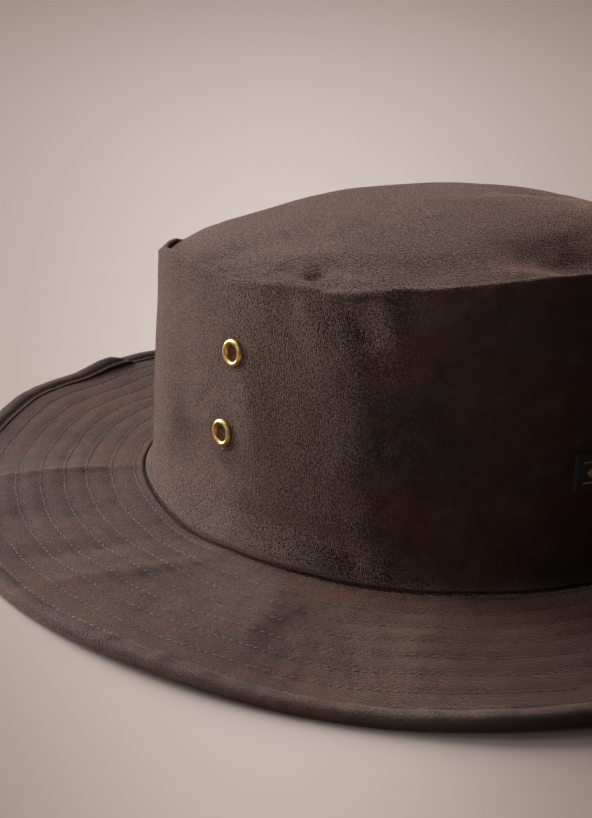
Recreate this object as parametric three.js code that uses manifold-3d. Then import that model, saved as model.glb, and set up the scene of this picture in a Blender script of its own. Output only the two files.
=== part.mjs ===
// Bush hat of waxed cotton: a crown wall with a domed tip, a quilted brim with a bound edge,
// two brass eyelets in each side of the crown and a woven label at the front.
// Millimetres, +Z up, the front towards -Y. The origin is on the floor below the middle of the brim.
// A turn is an angle round the hat in degrees: 0 at the centre front, 90 at the wearer's right side (-X),
// 180 at the centre back. A share is a part of the size that the table's comment names.

import * as THREE from "three";
import { mergeVertices } from "three/addons/utils/BufferGeometryUtils.js";
import Module from "manifold-3d";

// Crown
const HEAD_WIDTH = 172; // the crown's foot, side to side
const HEAD_LENGTH = 204; // the crown's foot, front to back
const CROWN_HEIGHT = 88.9; // foot to rim at the sides
const CROWN_PITCH = 12.1; // the rim's extra height at the front, which it lacks at the back
const RIM_INSET_SIDE = 10.6; // how far the rim lies inside the foot at each side
const RIM_INSET_END = 3.1; // how far the rim lies inside the foot at the front and the back
const RIM_LEAN = 1.1; // how far the rim's middle lies ahead of the foot's middle
const RIM_THICKNESS = 2.6; // the turned seam at the rim
const RIM_DEPTH = 5.3; // height of that turned seam
const RIM_ROUND = 0.35; // share of its thickness and depth that its rounded top takes on each side
const FOOT_THICKNESS = 2.8; // the folded hem at the foot
const FOOT_HEM = 3.5; // height of that hem
const WALL_CLOTH = 1.6;
const TIP_CLOTH = 1.6;
const TIP_DROP = 1.8; // the tip's edge below the top of the rim
const DOME_RISE = 16.8; // the tip's middle above the level of the rim

// Brim
const BRIM_WIDTH = 71.2; // the crown's foot to the bound edge
const BRIM_CLOTH = 2;
const BRIM_TUCK = 3; // how far the brim runs in under the crown's foot
const FOOT_HEIGHT = 6.1; // the brim's upper face above the floor at the foot
const FOOT_TILT = 1; // its extra height at the front, which it lacks at the back
const BINDING_WIDTH = 8.5;
const BINDING_CLOTH = 1;
const BINDING_LAP = 22; // how far to each side of the centre back its lapped join swells it
const BINDING_LAP_RISE = 0.6; // how far the join stands above the rest of the binding
const BINDING_CORNER = 0.7; // share of its cloth by which the fold's corners stand out

// Eyelets and label
const EYELET_DIAMETER = 9.2;
const EYELET_HOLE = 5.4;
const EYELET_METAL = 0.6;
const EYELET_ROLL = 1.4; // how far the rolled flange stands off the cloth
const EYELET_BACK_ROLL = 0.85; // the same behind the wall
const EYELETS = [
  { level: "upper", turn: 90, height: 65.3 }, // height above the crown's foot
  { level: "lower", turn: 91.6, height: 37.7 },
];
const LABEL_WIDTH = 47;
const LABEL_HEIGHT = 12.5;
const LABEL_CLOTH = 1;
const LABEL_MIDDLE = 38.2; // above the crown's foot

// Clearances
const GAP = 0.3; // between pieces that lie on each other
const EYELET_BACK_GAP = 0.5; // behind the wall, whose inside is hollow round the eyelet

// Fineness of the faceted solids
const STATIONS = 72; // sections round the hat
const EYELET_SEGMENTS = 16;
const ROLL_STEPS = 3;
const LABEL_COLUMNS = 12;

// The crown wall's outer face between the foot and the rim.
// height: share of the wall's own height there. out: share of CROWN_HEIGHT, outwards.
const WALL_SECTIONS = [
  { height: 0, out: 0.006 },
  { height: 0.03, out: -0.006 },
  { height: 0.08, out: -0.02 },
  { height: 0.16, out: -0.022 },
  { height: 0.3, out: -0.016 },
  { height: 0.45, out: -0.006 },
  { height: 0.62, out: 0.003 },
  { height: 0.78, out: 0.008 },
  { height: 0.9, out: 0.007 },
  { height: 0.96, out: 0.003 },
  { height: 0.985, out: 0.004 },
];

// Soft bulges and dents of the crown wall.
// turn and spread: degrees. height and reach: shares of the wall's height. out: share of CROWN_HEIGHT.
const WALL_DENTS = [
  { turn: 126, spread: 20, height: 1, reach: 0.16, out: 0.026 },
  { turn: 74, spread: 7, height: 0.93, reach: 0.16, out: -0.016 },
  { turn: 61, spread: 7, height: 0.9, reach: 0.2, out: 0.01 },
  { turn: 40, spread: 12, height: 0.6, reach: 0.3, out: -0.01 },
  { turn: 112, spread: 12, height: 0.2, reach: 0.14, out: -0.008 },
  { turn: 150, spread: 12, height: 0.55, reach: 0.25, out: -0.014 },
  { turn: 196, spread: 14, height: 0.75, reach: 0.22, out: -0.016 },
  { turn: 236, spread: 12, height: 0.95, reach: 0.2, out: 0.018 },
  { turn: 303, spread: 13, height: 0.85, reach: 0.25, out: -0.014 },
  { turn: 326, spread: 9, height: 0.5, reach: 0.3, out: 0.01 },
];

// Waves of the rim's height. rise: share of CROWN_HEIGHT.
const RIM_WAVES = [
  { turn: 22, spread: 9, rise: 0.011 },
  { turn: 69.5, spread: 6, rise: -0.016 },
  { turn: 113, spread: 17, rise: 0.039 },
  { turn: 158, spread: 15, rise: -0.016 },
  { turn: 205, spread: 20, rise: 0.012 },
  { turn: 250, spread: 17, rise: 0.026 },
  { turn: 292, spread: 8, rise: -0.014 },
  { turn: 335, spread: 10, rise: 0.01 },
];

// Waves of the crown's foot and of the brim there. rise: share of FOOT_HEIGHT.
const FOOT_WAVES = [
  { turn: 0, spread: 13, rise: -0.16 },
  { turn: 35, spread: 12, rise: 0.1 },
  { turn: 96, spread: 8, rise: -0.22 },
  { turn: 121, spread: 12, rise: 0.24 },
  { turn: 215, spread: 14, rise: 0.14 },
  { turn: 262, spread: 9, rise: -0.16 },
  { turn: 320, spread: 12, rise: 0.1 },
];

// Waves of the bound edge above the floor, where it is flat. rise: share of BRIM_WIDTH.
const EDGE_SINK = 0.007; // share of BRIM_WIDTH that the cloth would hang below the floor
const EDGE_WAVES = [
  { turn: 0, spread: 44, rise: 0.069 },
  { turn: 52, spread: 10, rise: -0.014 },
  { turn: 77, spread: 14, rise: 0.025 },
  { turn: 172, spread: 22, rise: 0.038 },
  { turn: 206, spread: 13, rise: 0.015 },
  { turn: 284, spread: 15, rise: 0.022 },
  { turn: 309, spread: 10, rise: -0.014 },
];

// Ridges and valleys that run out along the brim. rise: share of BRIM_WIDTH.
const BRIM_RIDGES = [
  { turn: 20, spread: 9, rise: 0.01 },
  { turn: 45, spread: 7, rise: 0.011 },
  { turn: 69, spread: 6, rise: 0.011 },
  { turn: 94, spread: 6, rise: 0.019 },
  { turn: 112, spread: 8, rise: -0.013 },
  { turn: 130, spread: 7, rise: 0.019 },
  { turn: 160, spread: 9, rise: -0.01 },
  { turn: 190, spread: 8, rise: 0.012 },
  { turn: 228, spread: 8, rise: 0.017 },
  { turn: 247, spread: 8, rise: -0.012 },
  { turn: 265, spread: 7, rise: 0.016 },
  { turn: 312, spread: 8, rise: 0.013 },
];

// Rings of the brim, as shares of the way from the crown's foot to its edge.
const BRIM_RINGS = [0.16, 0.32, 0.48, 0.64, 0.78, 0.9];

// Rings of the tip, upper and under face, as shares of the way from its middle to its edge.
const TIP_RINGS = [0.16, 0.34, 0.52, 0.68, 0.8, 0.88, 0.94, 0.98, 1];
const TIP_UNDER_RINGS = [0.94, 0.8, 0.6, 0.34];
const TIP_LEVEL_POWER = 6; // how late the rim's waves reach into the tip
const TIP_DROP_POWER = 4; // how late the tip sinks to its edge
const TIP_CALM_EDGE = 0.05; // share of the way over which the puckers fade at the edge
const DOME_ROUNDNESS = 2.5; // power of the dome's curve
const DOME_FULL_TURN = 285; // where the dome is fullest
const DOME_LOPSIDE = 0.6; // how much the power grows there

// Puckers of the tip. out and reach: shares of the way to the rim. rise: share of DOME_RISE.
const TIP_PUCKERS = [
  { turn: 76, spread: 5, out: 0.9, reach: 0.06, rise: -0.11 },
  { turn: 70, spread: 12, out: 0.78, reach: 0.06, rise: 0.07 },
  { turn: 104, spread: 6, out: 0.84, reach: 0.1, rise: -0.08 },
  { turn: 92, spread: 6, out: 0.86, reach: 0.08, rise: 0.06 },
  { turn: 48, spread: 9, out: 0.86, reach: 0.07, rise: -0.06 },
  { turn: 22, spread: 11, out: 0.82, reach: 0.09, rise: -0.12 },
  { turn: 128, spread: 9, out: 0.92, reach: 0.06, rise: -0.14 },
  { turn: 160, spread: 14, out: 0.84, reach: 0.1, rise: 0.05 },
  { turn: 187, spread: 9, out: 0.87, reach: 0.07, rise: -0.09 },
  { turn: 215, spread: 9, out: 0.84, reach: 0.1, rise: 0.06 },
  { turn: 238, spread: 7, out: 0.86, reach: 0.09, rise: -0.1 },
  { turn: 276, spread: 8, out: 0.8, reach: 0.1, rise: -0.07 },
  { turn: 305, spread: 8, out: 0.86, reach: 0.08, rise: 0.06 },
  { turn: 335, spread: 9, out: 0.84, reach: 0.08, rise: -0.09 },
];

const MATERIALS = {
  cloth: new THREE.MeshStandardMaterial({ color: 0x5a4740, roughness: 0.72, metalness: 0 }),
  brim: new THREE.MeshStandardMaterial({ color: 0x604c43, roughness: 0.75, metalness: 0 }),
  binding: new THREE.MeshStandardMaterial({ color: 0x463631, roughness: 0.72, metalness: 0 }),
  brass: new THREE.MeshStandardMaterial({ color: 0xc9a25a, roughness: 0.28, metalness: 1 }),
  label: new THREE.MeshStandardMaterial({ color: 0x17130f, roughness: 0.85, metalness: 0 }),
};

const wasm = await Module();
wasm.setup();

/** The turn's angle in radians. */
const radians = (turn) => THREE.MathUtils.degToRad(turn);

/** How far a turn lies from a row's turn, as a soft bell from 1 to 0. */
function bell(turn, row) {
  const away = ((turn - row.turn + 540) % 360) - 180;
  return Math.exp(-((away / row.spread) ** 2));
}

/** The rise of a table of waves at a turn, from the size that its shares follow. */
function waves(table, turn, size) {
  return size * table.reduce((sum, row) => sum + row.rise * bell(turn, row), 0);
}

/** Height of the brim's upper face where the crown's foot stands on it. */
function footHeight(turn) {
  return FOOT_HEIGHT + FOOT_TILT * Math.cos(radians(turn)) + waves(FOOT_WAVES, turn, FOOT_HEIGHT);
}

/** Height of the wall from its foot to the top of the rim. */
function wallHeight(turn) {
  const rise = CROWN_HEIGHT + CROWN_PITCH * Math.cos(radians(turn));
  return rise + waves(RIM_WAVES, turn, CROWN_HEIGHT) - GAP;
}

/** Outward offset of the wall's outer face at a share of its height, without its dents. */
function sectionOut(share) {
  const upper = WALL_SECTIONS.findIndex((row) => row.height >= share);
  if (upper < 0) {
    return WALL_SECTIONS.at(-1).out * CROWN_HEIGHT;
  }
  const above = WALL_SECTIONS[upper];
  const below = WALL_SECTIONS[Math.max(upper - 1, 0)];
  const step = above.height - below.height;
  const part = step > 0 ? (share - below.height) / step : 0;
  return THREE.MathUtils.lerp(below.out, above.out, part) * CROWN_HEIGHT;
}

/** Outward offset of the wall's outer face, with its dents. */
function wallOut(turn, share) {
  const dents = WALL_DENTS.reduce((sum, row) => {
    const apart = (share - row.height) / row.reach;
    return sum + row.out * bell(turn, row) * Math.exp(-(apart ** 2));
  }, 0);
  return sectionOut(share) + dents * CROWN_HEIGHT;
}

/** A point near the crown wall: a share of its height, and a distance outwards from the plain cone. */
function crownPoint(turn, share, out) {
  const across = HEAD_WIDTH / 2 - RIM_INSET_SIDE * share + out;
  const along = HEAD_LENGTH / 2 - RIM_INSET_END * share + out;
  const angle = radians(turn);
  return new THREE.Vector3(
    -across * Math.sin(angle),
    -along * Math.cos(angle) - RIM_LEAN * share,
    footHeight(turn) + GAP + wallHeight(turn) * share,
  );
}

/** A point of the brim, a distance out from the crown's foot. */
function brimPoint(turn, distance, height) {
  const angle = radians(turn);
  const across = HEAD_WIDTH / 2 + distance;
  const along = HEAD_LENGTH / 2 + distance;
  return new THREE.Vector3(-across * Math.sin(angle), -along * Math.cos(angle), height);
}

/** Height of the binding's underside above the floor, before it is flattened there. */
function edgeHeight(turn) {
  return waves(EDGE_WAVES, turn, BRIM_WIDTH) - EDGE_SINK * BRIM_WIDTH;
}

/** Height of the brim's upper face, a distance out from the crown's foot. It is level under the binding. */
function brimHeight(turn, distance) {
  const share = THREE.MathUtils.clamp(distance / (BRIM_WIDTH - BINDING_WIDTH), 0, 1);
  const edge = Math.max(edgeHeight(turn), 0) + BINDING_CLOTH + GAP + BRIM_CLOTH;
  const ridge = waves(BRIM_RIDGES, turn, BRIM_WIDTH) * Math.sin(Math.PI * share);
  return THREE.MathUtils.lerp(footHeight(turn), edge, share) + ridge;
}

/**
 * A solid round the hat from one section per station, whose points run outwards over its top and back
 * under it. A looped section closes on itself. Otherwise its first and last points lie on the hat's middle
 * line, and each is one shared corner.
 */
function solidRound(sectionAt, looped) {
  const sections = Array.from({ length: STATIONS }, (_, station) => sectionAt((360 * station) / STATIONS));
  const count = sections[0].length;
  const corners = [];
  const faces = [];
  const corner = (station, index) => {
    if (looped) {
      return (station % STATIONS) * count + (index % count);
    }
    if (index === 0 || index === count - 1) {
      return index === 0 ? 0 : 1;
    }
    return 2 + (station % STATIONS) * (count - 2) + index - 1;
  };
  if (!looped) {
    corners.push(...sections[0][0].toArray(), ...sections[0][count - 1].toArray());
  }
  for (const section of sections) {
    const own = looped ? section : section.slice(1, -1);
    own.forEach((point) => corners.push(...point.toArray()));
  }
  for (let station = 0; station < STATIONS; station += 1) {
    for (let index = 0; index < (looped ? count : count - 1); index += 1) {
      const [a, b] = [corner(station, index), corner(station + 1, index)];
      const [c, d] = [corner(station + 1, index + 1), corner(station, index + 1)];
      if (a !== b) {
        faces.push(a, b, c);
      }
      if (c !== d) {
        faces.push(a, c, d);
      }
    }
  }
  const geometry = new THREE.BufferGeometry();
  geometry.setAttribute("position", new THREE.Float32BufferAttribute(corners, 3));
  geometry.setIndex(faces);
  geometry.computeVertexNormals();
  return geometry;
}

/** A closed geometry as a solid that can be cut. */
function solidOf(geometry) {
  const bare = geometry.clone();
  bare.deleteAttribute("normal");
  bare.deleteAttribute("uv");
  const merged = mergeVertices(bare);
  const mesh = new wasm.Mesh({
    numProp: 3,
    vertProperties: Float32Array.from(merged.getAttribute("position").array),
    triVerts: Uint32Array.from(merged.getIndex().array),
  });
  return new wasm.Manifold(mesh);
}

/** A geometry with the cutters' shapes taken out of it. */
function cutGeometry(geometry, cutters) {
  const left = cutters.reduce((solid, cutter) => solid.subtract(solidOf(cutter)), solidOf(geometry));
  const { vertProperties, triVerts } = left.getMesh();
  const result = new THREE.BufferGeometry();
  result.setAttribute("position", new THREE.Float32BufferAttribute(vertProperties, 3));
  result.setIndex([...triVerts]);
  result.computeVertexNormals();
  return result;
}

/** Places with their own X along the wall, Y out of it and Z up it, at a height above the crown's foot. */
function wallFrame(turn, height) {
  const at = (turned, share) => crownPoint(turned, share, wallOut(turned, share));
  const share = height / wallHeight(turn);
  const along = at(turn + 1, share).sub(at(turn - 1, share)).normalize();
  const step = 2 / wallHeight(turn);
  const up = at(turn, share + step).sub(at(turn, share - step)).normalize();
  const out = new THREE.Vector3().crossVectors(up, along).normalize();
  const square = new THREE.Vector3().crossVectors(along, out);
  return new THREE.Matrix4().makeBasis(along, out, square).setPosition(at(turn, share));
}

/** The crown wall's section: up its inner face from the hem, over the rim's ridge, down its outer face. */
function wallSection(turn) {
  const rimDepth = RIM_DEPTH / wallHeight(turn);
  const hem = FOOT_HEM / wallHeight(turn);
  const rim = wallOut(turn, 1);
  const face = (share, inwards) => crownPoint(turn, share, wallOut(turn, share) - inwards);
  const outer = WALL_SECTIONS.map((row) => face(row.height, 0));
  const ridge = [
    crownPoint(turn, 1, rim - RIM_THICKNESS * RIM_ROUND),
    crownPoint(turn, 1, rim - RIM_THICKNESS * (1 - RIM_ROUND)),
    crownPoint(turn, 1 - rimDepth * RIM_ROUND, rim - RIM_THICKNESS),
    crownPoint(turn, 1 - rimDepth, rim - RIM_THICKNESS),
  ];
  const inner = WALL_SECTIONS.filter((row) => row.height > hem && row.height < 1 - rimDepth)
    .reverse()
    .map((row) => face(row.height, WALL_CLOTH));
  const foot = [face(hem, FOOT_THICKNESS), face(0, FOOT_THICKNESS)];
  return [...outer, ...ridge, ...inner, ...foot].reverse();
}

/** The wall with a hole for each eyelet. */
function crownWallGeometry(eyeletFrames) {
  const radius = EYELET_HOLE / 2 + EYELET_METAL + GAP;
  const cutters = eyeletFrames.map((frame) => {
    const drill = new THREE.CylinderGeometry(radius, radius, radius * 2, EYELET_SEGMENTS);
    return drill.applyMatrix4(frame);
  });
  return cutGeometry(solidRound(wallSection, true), cutters);
}

/** A point of the tip at a share of the way to the rim, lowered by a thickness. */
function tipPoint(turn, out, lowered) {
  const edge = crownPoint(turn, 1, wallOut(turn, 1) - RIM_THICKNESS - GAP);
  const angle = radians(turn);
  const level = FOOT_HEIGHT + CROWN_HEIGHT;
  const wavy = (edge.z - level - (FOOT_TILT + CROWN_PITCH) * Math.cos(angle)) * out ** TIP_LEVEL_POWER;
  const plane = level + (FOOT_TILT + CROWN_PITCH) * Math.cos(angle) * out + wavy;
  const power = DOME_ROUNDNESS + DOME_LOPSIDE * Math.cos(angle - radians(DOME_FULL_TURN));
  const puckers = TIP_PUCKERS.reduce((sum, row) => {
    const apart = (out - row.out) / row.reach;
    return sum + row.rise * bell(turn, row) * Math.exp(-(apart ** 2));
  }, 0);
  const fade = Math.min((1 - out) / TIP_CALM_EDGE, 1);
  const dome = DOME_RISE * (1 - out ** power + puckers * fade);
  const x = edge.x * out;
  const y = edge.y * out - RIM_LEAN * (1 - out);
  return new THREE.Vector3(x, y, plane - TIP_DROP * out ** TIP_DROP_POWER + dome - lowered);
}

/** The tip's section: out along its upper face and back under it, both ends on the middle line. */
function tipSection(turn) {
  const upper = [0, ...TIP_RINGS].map((out) => tipPoint(turn, out, 0));
  const lower = [1, ...TIP_UNDER_RINGS, 0].map((out) => tipPoint(turn, out, TIP_CLOTH));
  return [...upper, ...lower];
}

/** The brim's section: in along its underside, round its tucked edge and out along its upper face. */
function brimSection(turn) {
  const edge = BRIM_WIDTH - BINDING_CLOTH - GAP;
  const rows = [-BRIM_TUCK, 0, ...BRIM_RINGS.map((share) => share * edge), edge];
  const upper = rows.map((distance) => brimPoint(turn, distance, brimHeight(turn, distance)));
  const under = rows
    .filter((_, index) => index % 2 === 0)
    .reverse()
    .map((distance) => brimPoint(turn, distance, brimHeight(turn, distance) - BRIM_CLOTH));
  return [...under, ...upper];
}

/** The binding's section: a strip folded over the brim's edge, thicker at its lapped join. */
function bindingSection(turn) {
  const fromBack = Math.abs(radians(turn - 180)) * (HEAD_WIDTH / 2 + BRIM_WIDTH);
  const lap = BINDING_LAP_RISE * Math.max(1 - (fromBack / BINDING_LAP) ** 2, 0);
  const inner = BRIM_WIDTH - BINDING_WIDTH;
  const fold = BRIM_WIDTH - BINDING_CLOTH;
  const round = fold - BINDING_CLOTH;
  const face = (distance) => brimHeight(turn, distance);
  const above = BINDING_CLOTH + GAP;
  const middle = face(fold) - BRIM_CLOTH / 2;
  const at = (distance, height) => brimPoint(turn, distance, height);
  return [
    at(inner, face(inner) + GAP),
    at(inner, face(inner) + above + lap),
    at((inner + round) / 2, face((inner + round) / 2) + above + lap),
    at(round, face(round) + above + lap),
    at(fold + BINDING_CLOTH * BINDING_CORNER, face(fold) + GAP),
    at(BRIM_WIDTH, middle),
    at(fold + BINDING_CLOTH * BINDING_CORNER, face(fold) - BRIM_CLOTH - GAP),
    at(round, face(round) - BRIM_CLOTH - above),
    at((inner + round) / 2, face((inner + round) / 2) - BRIM_CLOTH - above),
    at(inner, face(inner) - BRIM_CLOTH - above),
    at(inner, face(inner) - BRIM_CLOTH - GAP),
    at(fold - GAP, face(fold - GAP) - BRIM_CLOTH - GAP),
    at(fold, middle),
    at(fold - GAP, face(fold - GAP) + GAP),
  ];
}

/** An eyelet turned round its own Y axis: a rolled flange in front, a barrel and a smaller roll behind. */
function eyeletGeometry() {
  const bore = EYELET_HOLE / 2;
  const barrel = bore + EYELET_METAL;
  const front = GAP;
  const back = -(WALL_CLOTH + EYELET_BACK_GAP);
  const roll = (rim, seat, height) => {
    const middle = (rim + bore) / 2;
    const half = (rim - bore) / 2;
    return Array.from({ length: ROLL_STEPS + 1 }, (_, step) => {
      const angle = (Math.PI * step) / ROLL_STEPS;
      return new THREE.Vector2(middle + half * Math.cos(angle), seat + height * Math.sin(angle));
    });
  };
  const flange = EYELET_DIAMETER / 2;
  const profile = [
    new THREE.Vector2(barrel, front),
    ...roll(flange, front, EYELET_ROLL),
    ...roll(flange - EYELET_METAL, back, -EYELET_BACK_ROLL).reverse(),
    new THREE.Vector2(barrel, back),
  ];
  return new THREE.LatheGeometry([...profile, profile[0].clone()], EYELET_SEGMENTS);
}

/** The label: a flat strip bent to the front of the crown wall. */
function labelGeometry() {
  const strip = new THREE.BoxGeometry(LABEL_WIDTH, LABEL_CLOTH, LABEL_HEIGHT, LABEL_COLUMNS, 1, 1);
  const place = strip.getAttribute("position");
  for (let index = 0; index < place.count; index += 1) {
    const share = (LABEL_MIDDLE + place.getZ(index)) / wallHeight(0);
    const across = HEAD_WIDTH / 2 - RIM_INSET_SIDE * share;
    const turn = THREE.MathUtils.radToDeg(Math.asin(-place.getX(index) / across));
    const off = GAP + LABEL_CLOTH / 2 - place.getY(index);
    const point = crownPoint((turn + 360) % 360, share, wallOut((turn + 360) % 360, share) + off);
    place.setXYZ(index, point.x, point.y, point.z);
  }
  return strip;
}

/** A named mesh of the hat. */
function piece(name, geometry, material) {
  const mesh = new THREE.Mesh(geometry, material);
  mesh.name = name;
  return mesh;
}

/** The places of the four eyelets, two above each other in each side. */
function eyeletPlaces() {
  return EYELETS.flatMap(({ level, turn, height }) => [
    { name: `eyelet_right_${level}`, frame: wallFrame(turn, height) },
    { name: `eyelet_left_${level}`, frame: wallFrame(360 - turn, height) },
  ]);
}

/** The whole hat. */
function bushHat() {
  const eyelets = eyeletPlaces();
  const hat = new THREE.Group();
  hat.add(
    piece("crown_wall", crownWallGeometry(eyelets.map(({ frame }) => frame)), MATERIALS.cloth),
    piece("crown_tip", solidRound(tipSection, false), MATERIALS.cloth),
    piece("brim", solidRound(brimSection, true), MATERIALS.brim),
    piece("brim_binding", solidRound(bindingSection, true), MATERIALS.binding),
    piece("label", labelGeometry(), MATERIALS.label),
  );
  for (const { name, frame } of eyelets) {
    const eyelet = piece(name, eyeletGeometry(), MATERIALS.brass);
    eyelet.applyMatrix4(frame);
    hat.add(eyelet);
  }
  return hat;
}

export default bushHat();
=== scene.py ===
"""Looks of a bush hat: waxed cotton, a quilted and bound brim, brass eyelets and a woven label.

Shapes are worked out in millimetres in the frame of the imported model, +Z up and the front towards -Y, and
become metres when a mesh is made. A turn is an angle round the hat in degrees: 0 at the centre front, 90 at
the wearer's right side (-X), 180 at the centre back.
"""

import itertools
import logging
import math
from collections.abc import Callable
from dataclasses import dataclass, field
from enum import Enum
from functools import partial

import bpy
import numpy as np
from bpy.types import Material, NodeSocket, NodeTree, Object
from mathutils import Matrix, Vector

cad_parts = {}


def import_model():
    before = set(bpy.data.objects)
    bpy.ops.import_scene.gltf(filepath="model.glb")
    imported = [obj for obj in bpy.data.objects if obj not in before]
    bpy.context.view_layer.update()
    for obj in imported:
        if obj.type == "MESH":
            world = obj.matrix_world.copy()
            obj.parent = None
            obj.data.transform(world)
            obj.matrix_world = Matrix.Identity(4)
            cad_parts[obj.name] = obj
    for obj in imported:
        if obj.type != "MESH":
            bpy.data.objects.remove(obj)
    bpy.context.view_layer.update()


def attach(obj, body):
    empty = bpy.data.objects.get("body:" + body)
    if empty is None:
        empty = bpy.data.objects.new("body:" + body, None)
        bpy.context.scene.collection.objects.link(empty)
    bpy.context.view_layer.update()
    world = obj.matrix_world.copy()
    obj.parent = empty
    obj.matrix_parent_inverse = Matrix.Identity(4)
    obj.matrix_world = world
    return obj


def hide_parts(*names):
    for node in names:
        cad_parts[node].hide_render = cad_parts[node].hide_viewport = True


log = logging.getLogger("bush_hat")

Array = np.ndarray
MM = 0.001
WEAVE_MAP = "weave"  # the UV map: millimetres along and across the cloth
WEAR_AND_SHADE_LAYER = "wear"  # per vertex of the mesh: 1 on a crest, lighter as rubbed wax and painted highlight, -1 in a crease or seam, darker as gathered wax and painted shade
QUAD = ((0, 0), (1, 0), (1, 1), (0, 1))  # steps from a face's first corner to each of its corners


class ThreadRun(Enum):
    """How a cloth's threads lie to the piece's long way."""

    STRAIGHT = 0.0
    BIAS = math.radians(45)


class Wrap(Enum):
    """Whether a section closes on itself or ends on the hat's middle line."""

    LOOP = "loop"
    POLES = "poles"


@dataclass(frozen=True)
class Wave:
    """A soft rise at one turn of the hat."""

    turn: float
    spread: float
    rise: float


@dataclass(frozen=True)
class Swell:
    """A soft rise at one turn and one level of a surface."""

    turn: float
    spread: float
    level: float
    reach: float
    lift: float


def table(kind: type, rows: tuple[tuple[float, ...], ...]) -> tuple:
    """Rows of numbers as objects of one kind."""
    return tuple(kind(*row) for row in rows)


# Waves of the rim's height. rise: share of the crown's height.
RIM_WAVES = table(Wave, (
    (22, 9, 0.011), (69.5, 6, -0.016), (113, 17, 0.039), (158, 15, -0.016),
    (205, 20, 0.012), (250, 17, 0.026), (292, 8, -0.014), (335, 10, 0.01),
))

# Waves of the crown's foot. rise: share of the foot's height.
FOOT_WAVES = table(Wave, (
    (0, 13, -0.16), (35, 12, 0.1), (96, 8, -0.22), (121, 12, 0.24),
    (215, 14, 0.14), (262, 9, -0.16), (320, 12, 0.1),
))

# Waves of the brim's edge above the floor. rise: share of the brim's width.
EDGE_WAVES = table(Wave, (
    (0, 44, 0.069), (52, 10, -0.014), (77, 14, 0.025), (172, 22, 0.038),
    (206, 13, 0.015), (284, 15, 0.022), (309, 10, -0.014),
))

# Ridges and valleys that run out along the brim. rise: share of the brim's width.
BRIM_RIDGES = table(Wave, (
    (20, 9, 0.01), (45, 7, 0.011), (69, 6, 0.011), (94, 6, 0.019), (112, 8, -0.013), (130, 7, 0.019),
    (160, 9, -0.01), (190, 8, 0.012), (228, 8, 0.017), (247, 8, -0.012), (265, 7, 0.016), (312, 8, 0.013),
))

# The crown wall's outer face: shares of its height, and offsets outwards as shares of the crown's height.
WALL_SHARES = (0, 0.03, 0.08, 0.16, 0.3, 0.45, 0.62, 0.78, 0.9, 0.96, 0.985, 1)
WALL_OFFSETS = (0.006, -0.006, -0.02, -0.022, -0.016, -0.006, 0.003, 0.008, 0.007, 0.003, 0.004, 0.004)

# Soft bulges and dents of the crown wall. level and reach: shares of its height. lift: share of it too.
WALL_DENTS = table(Swell, (
    (126, 20, 1, 0.16, 0.026), (74, 7, 0.93, 0.16, -0.016), (61, 7, 0.9, 0.2, 0.01),
    (40, 12, 0.6, 0.3, -0.01), (112, 12, 0.2, 0.14, -0.008), (150, 12, 0.55, 0.25, -0.014),
    (196, 14, 0.75, 0.22, -0.016), (236, 12, 0.95, 0.2, 0.018), (303, 13, 0.85, 0.25, -0.014),
    (326, 9, 0.5, 0.3, 0.01),
))

# Puckers of the tip. level and reach: shares of the way to the rim. lift: share of the dome's rise.
TIP_PUCKERS = table(Swell, (
    (76, 5, 0.9, 0.06, -0.11), (70, 12, 0.78, 0.06, 0.07), (104, 6, 0.84, 0.1, -0.08),
    (92, 6, 0.86, 0.08, 0.06), (48, 9, 0.86, 0.07, -0.06), (22, 11, 0.82, 0.09, -0.12),
    (128, 9, 0.92, 0.06, -0.14), (160, 14, 0.84, 0.1, 0.05), (187, 9, 0.87, 0.07, -0.09),
    (215, 9, 0.84, 0.1, 0.06), (238, 7, 0.86, 0.09, -0.1), (276, 8, 0.8, 0.1, -0.07),
    (305, 8, 0.86, 0.08, 0.06), (335, 9, 0.84, 0.08, -0.09),
))

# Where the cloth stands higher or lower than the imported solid. level and reach as above. lift: mm.
RIM_LIFTS = table(Wave, ((149, 7, 1.9), (166, 8, -1.4)))
TIP_LIFTS = table(Swell, (
    (148, 20, 0.87, 0.16, 1.25), (79, 5, 0.885, 0.05, 0.9), (345, 28, 0.62, 0.16, 0.5),
    (318, 16, 0.5, 0.12, -0.5),
    (8, 15, 0.9, 0.085, -3.9), (31, 7, 0.93, 0.04, 0.8), (4, 15, 0.78, 0.08, -1.6),
))
EDGE_LIFTS = table(Wave, ((158, 7, 1.5), (171, 4.5, -1.1), (188, 8, 1.2)))

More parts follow.
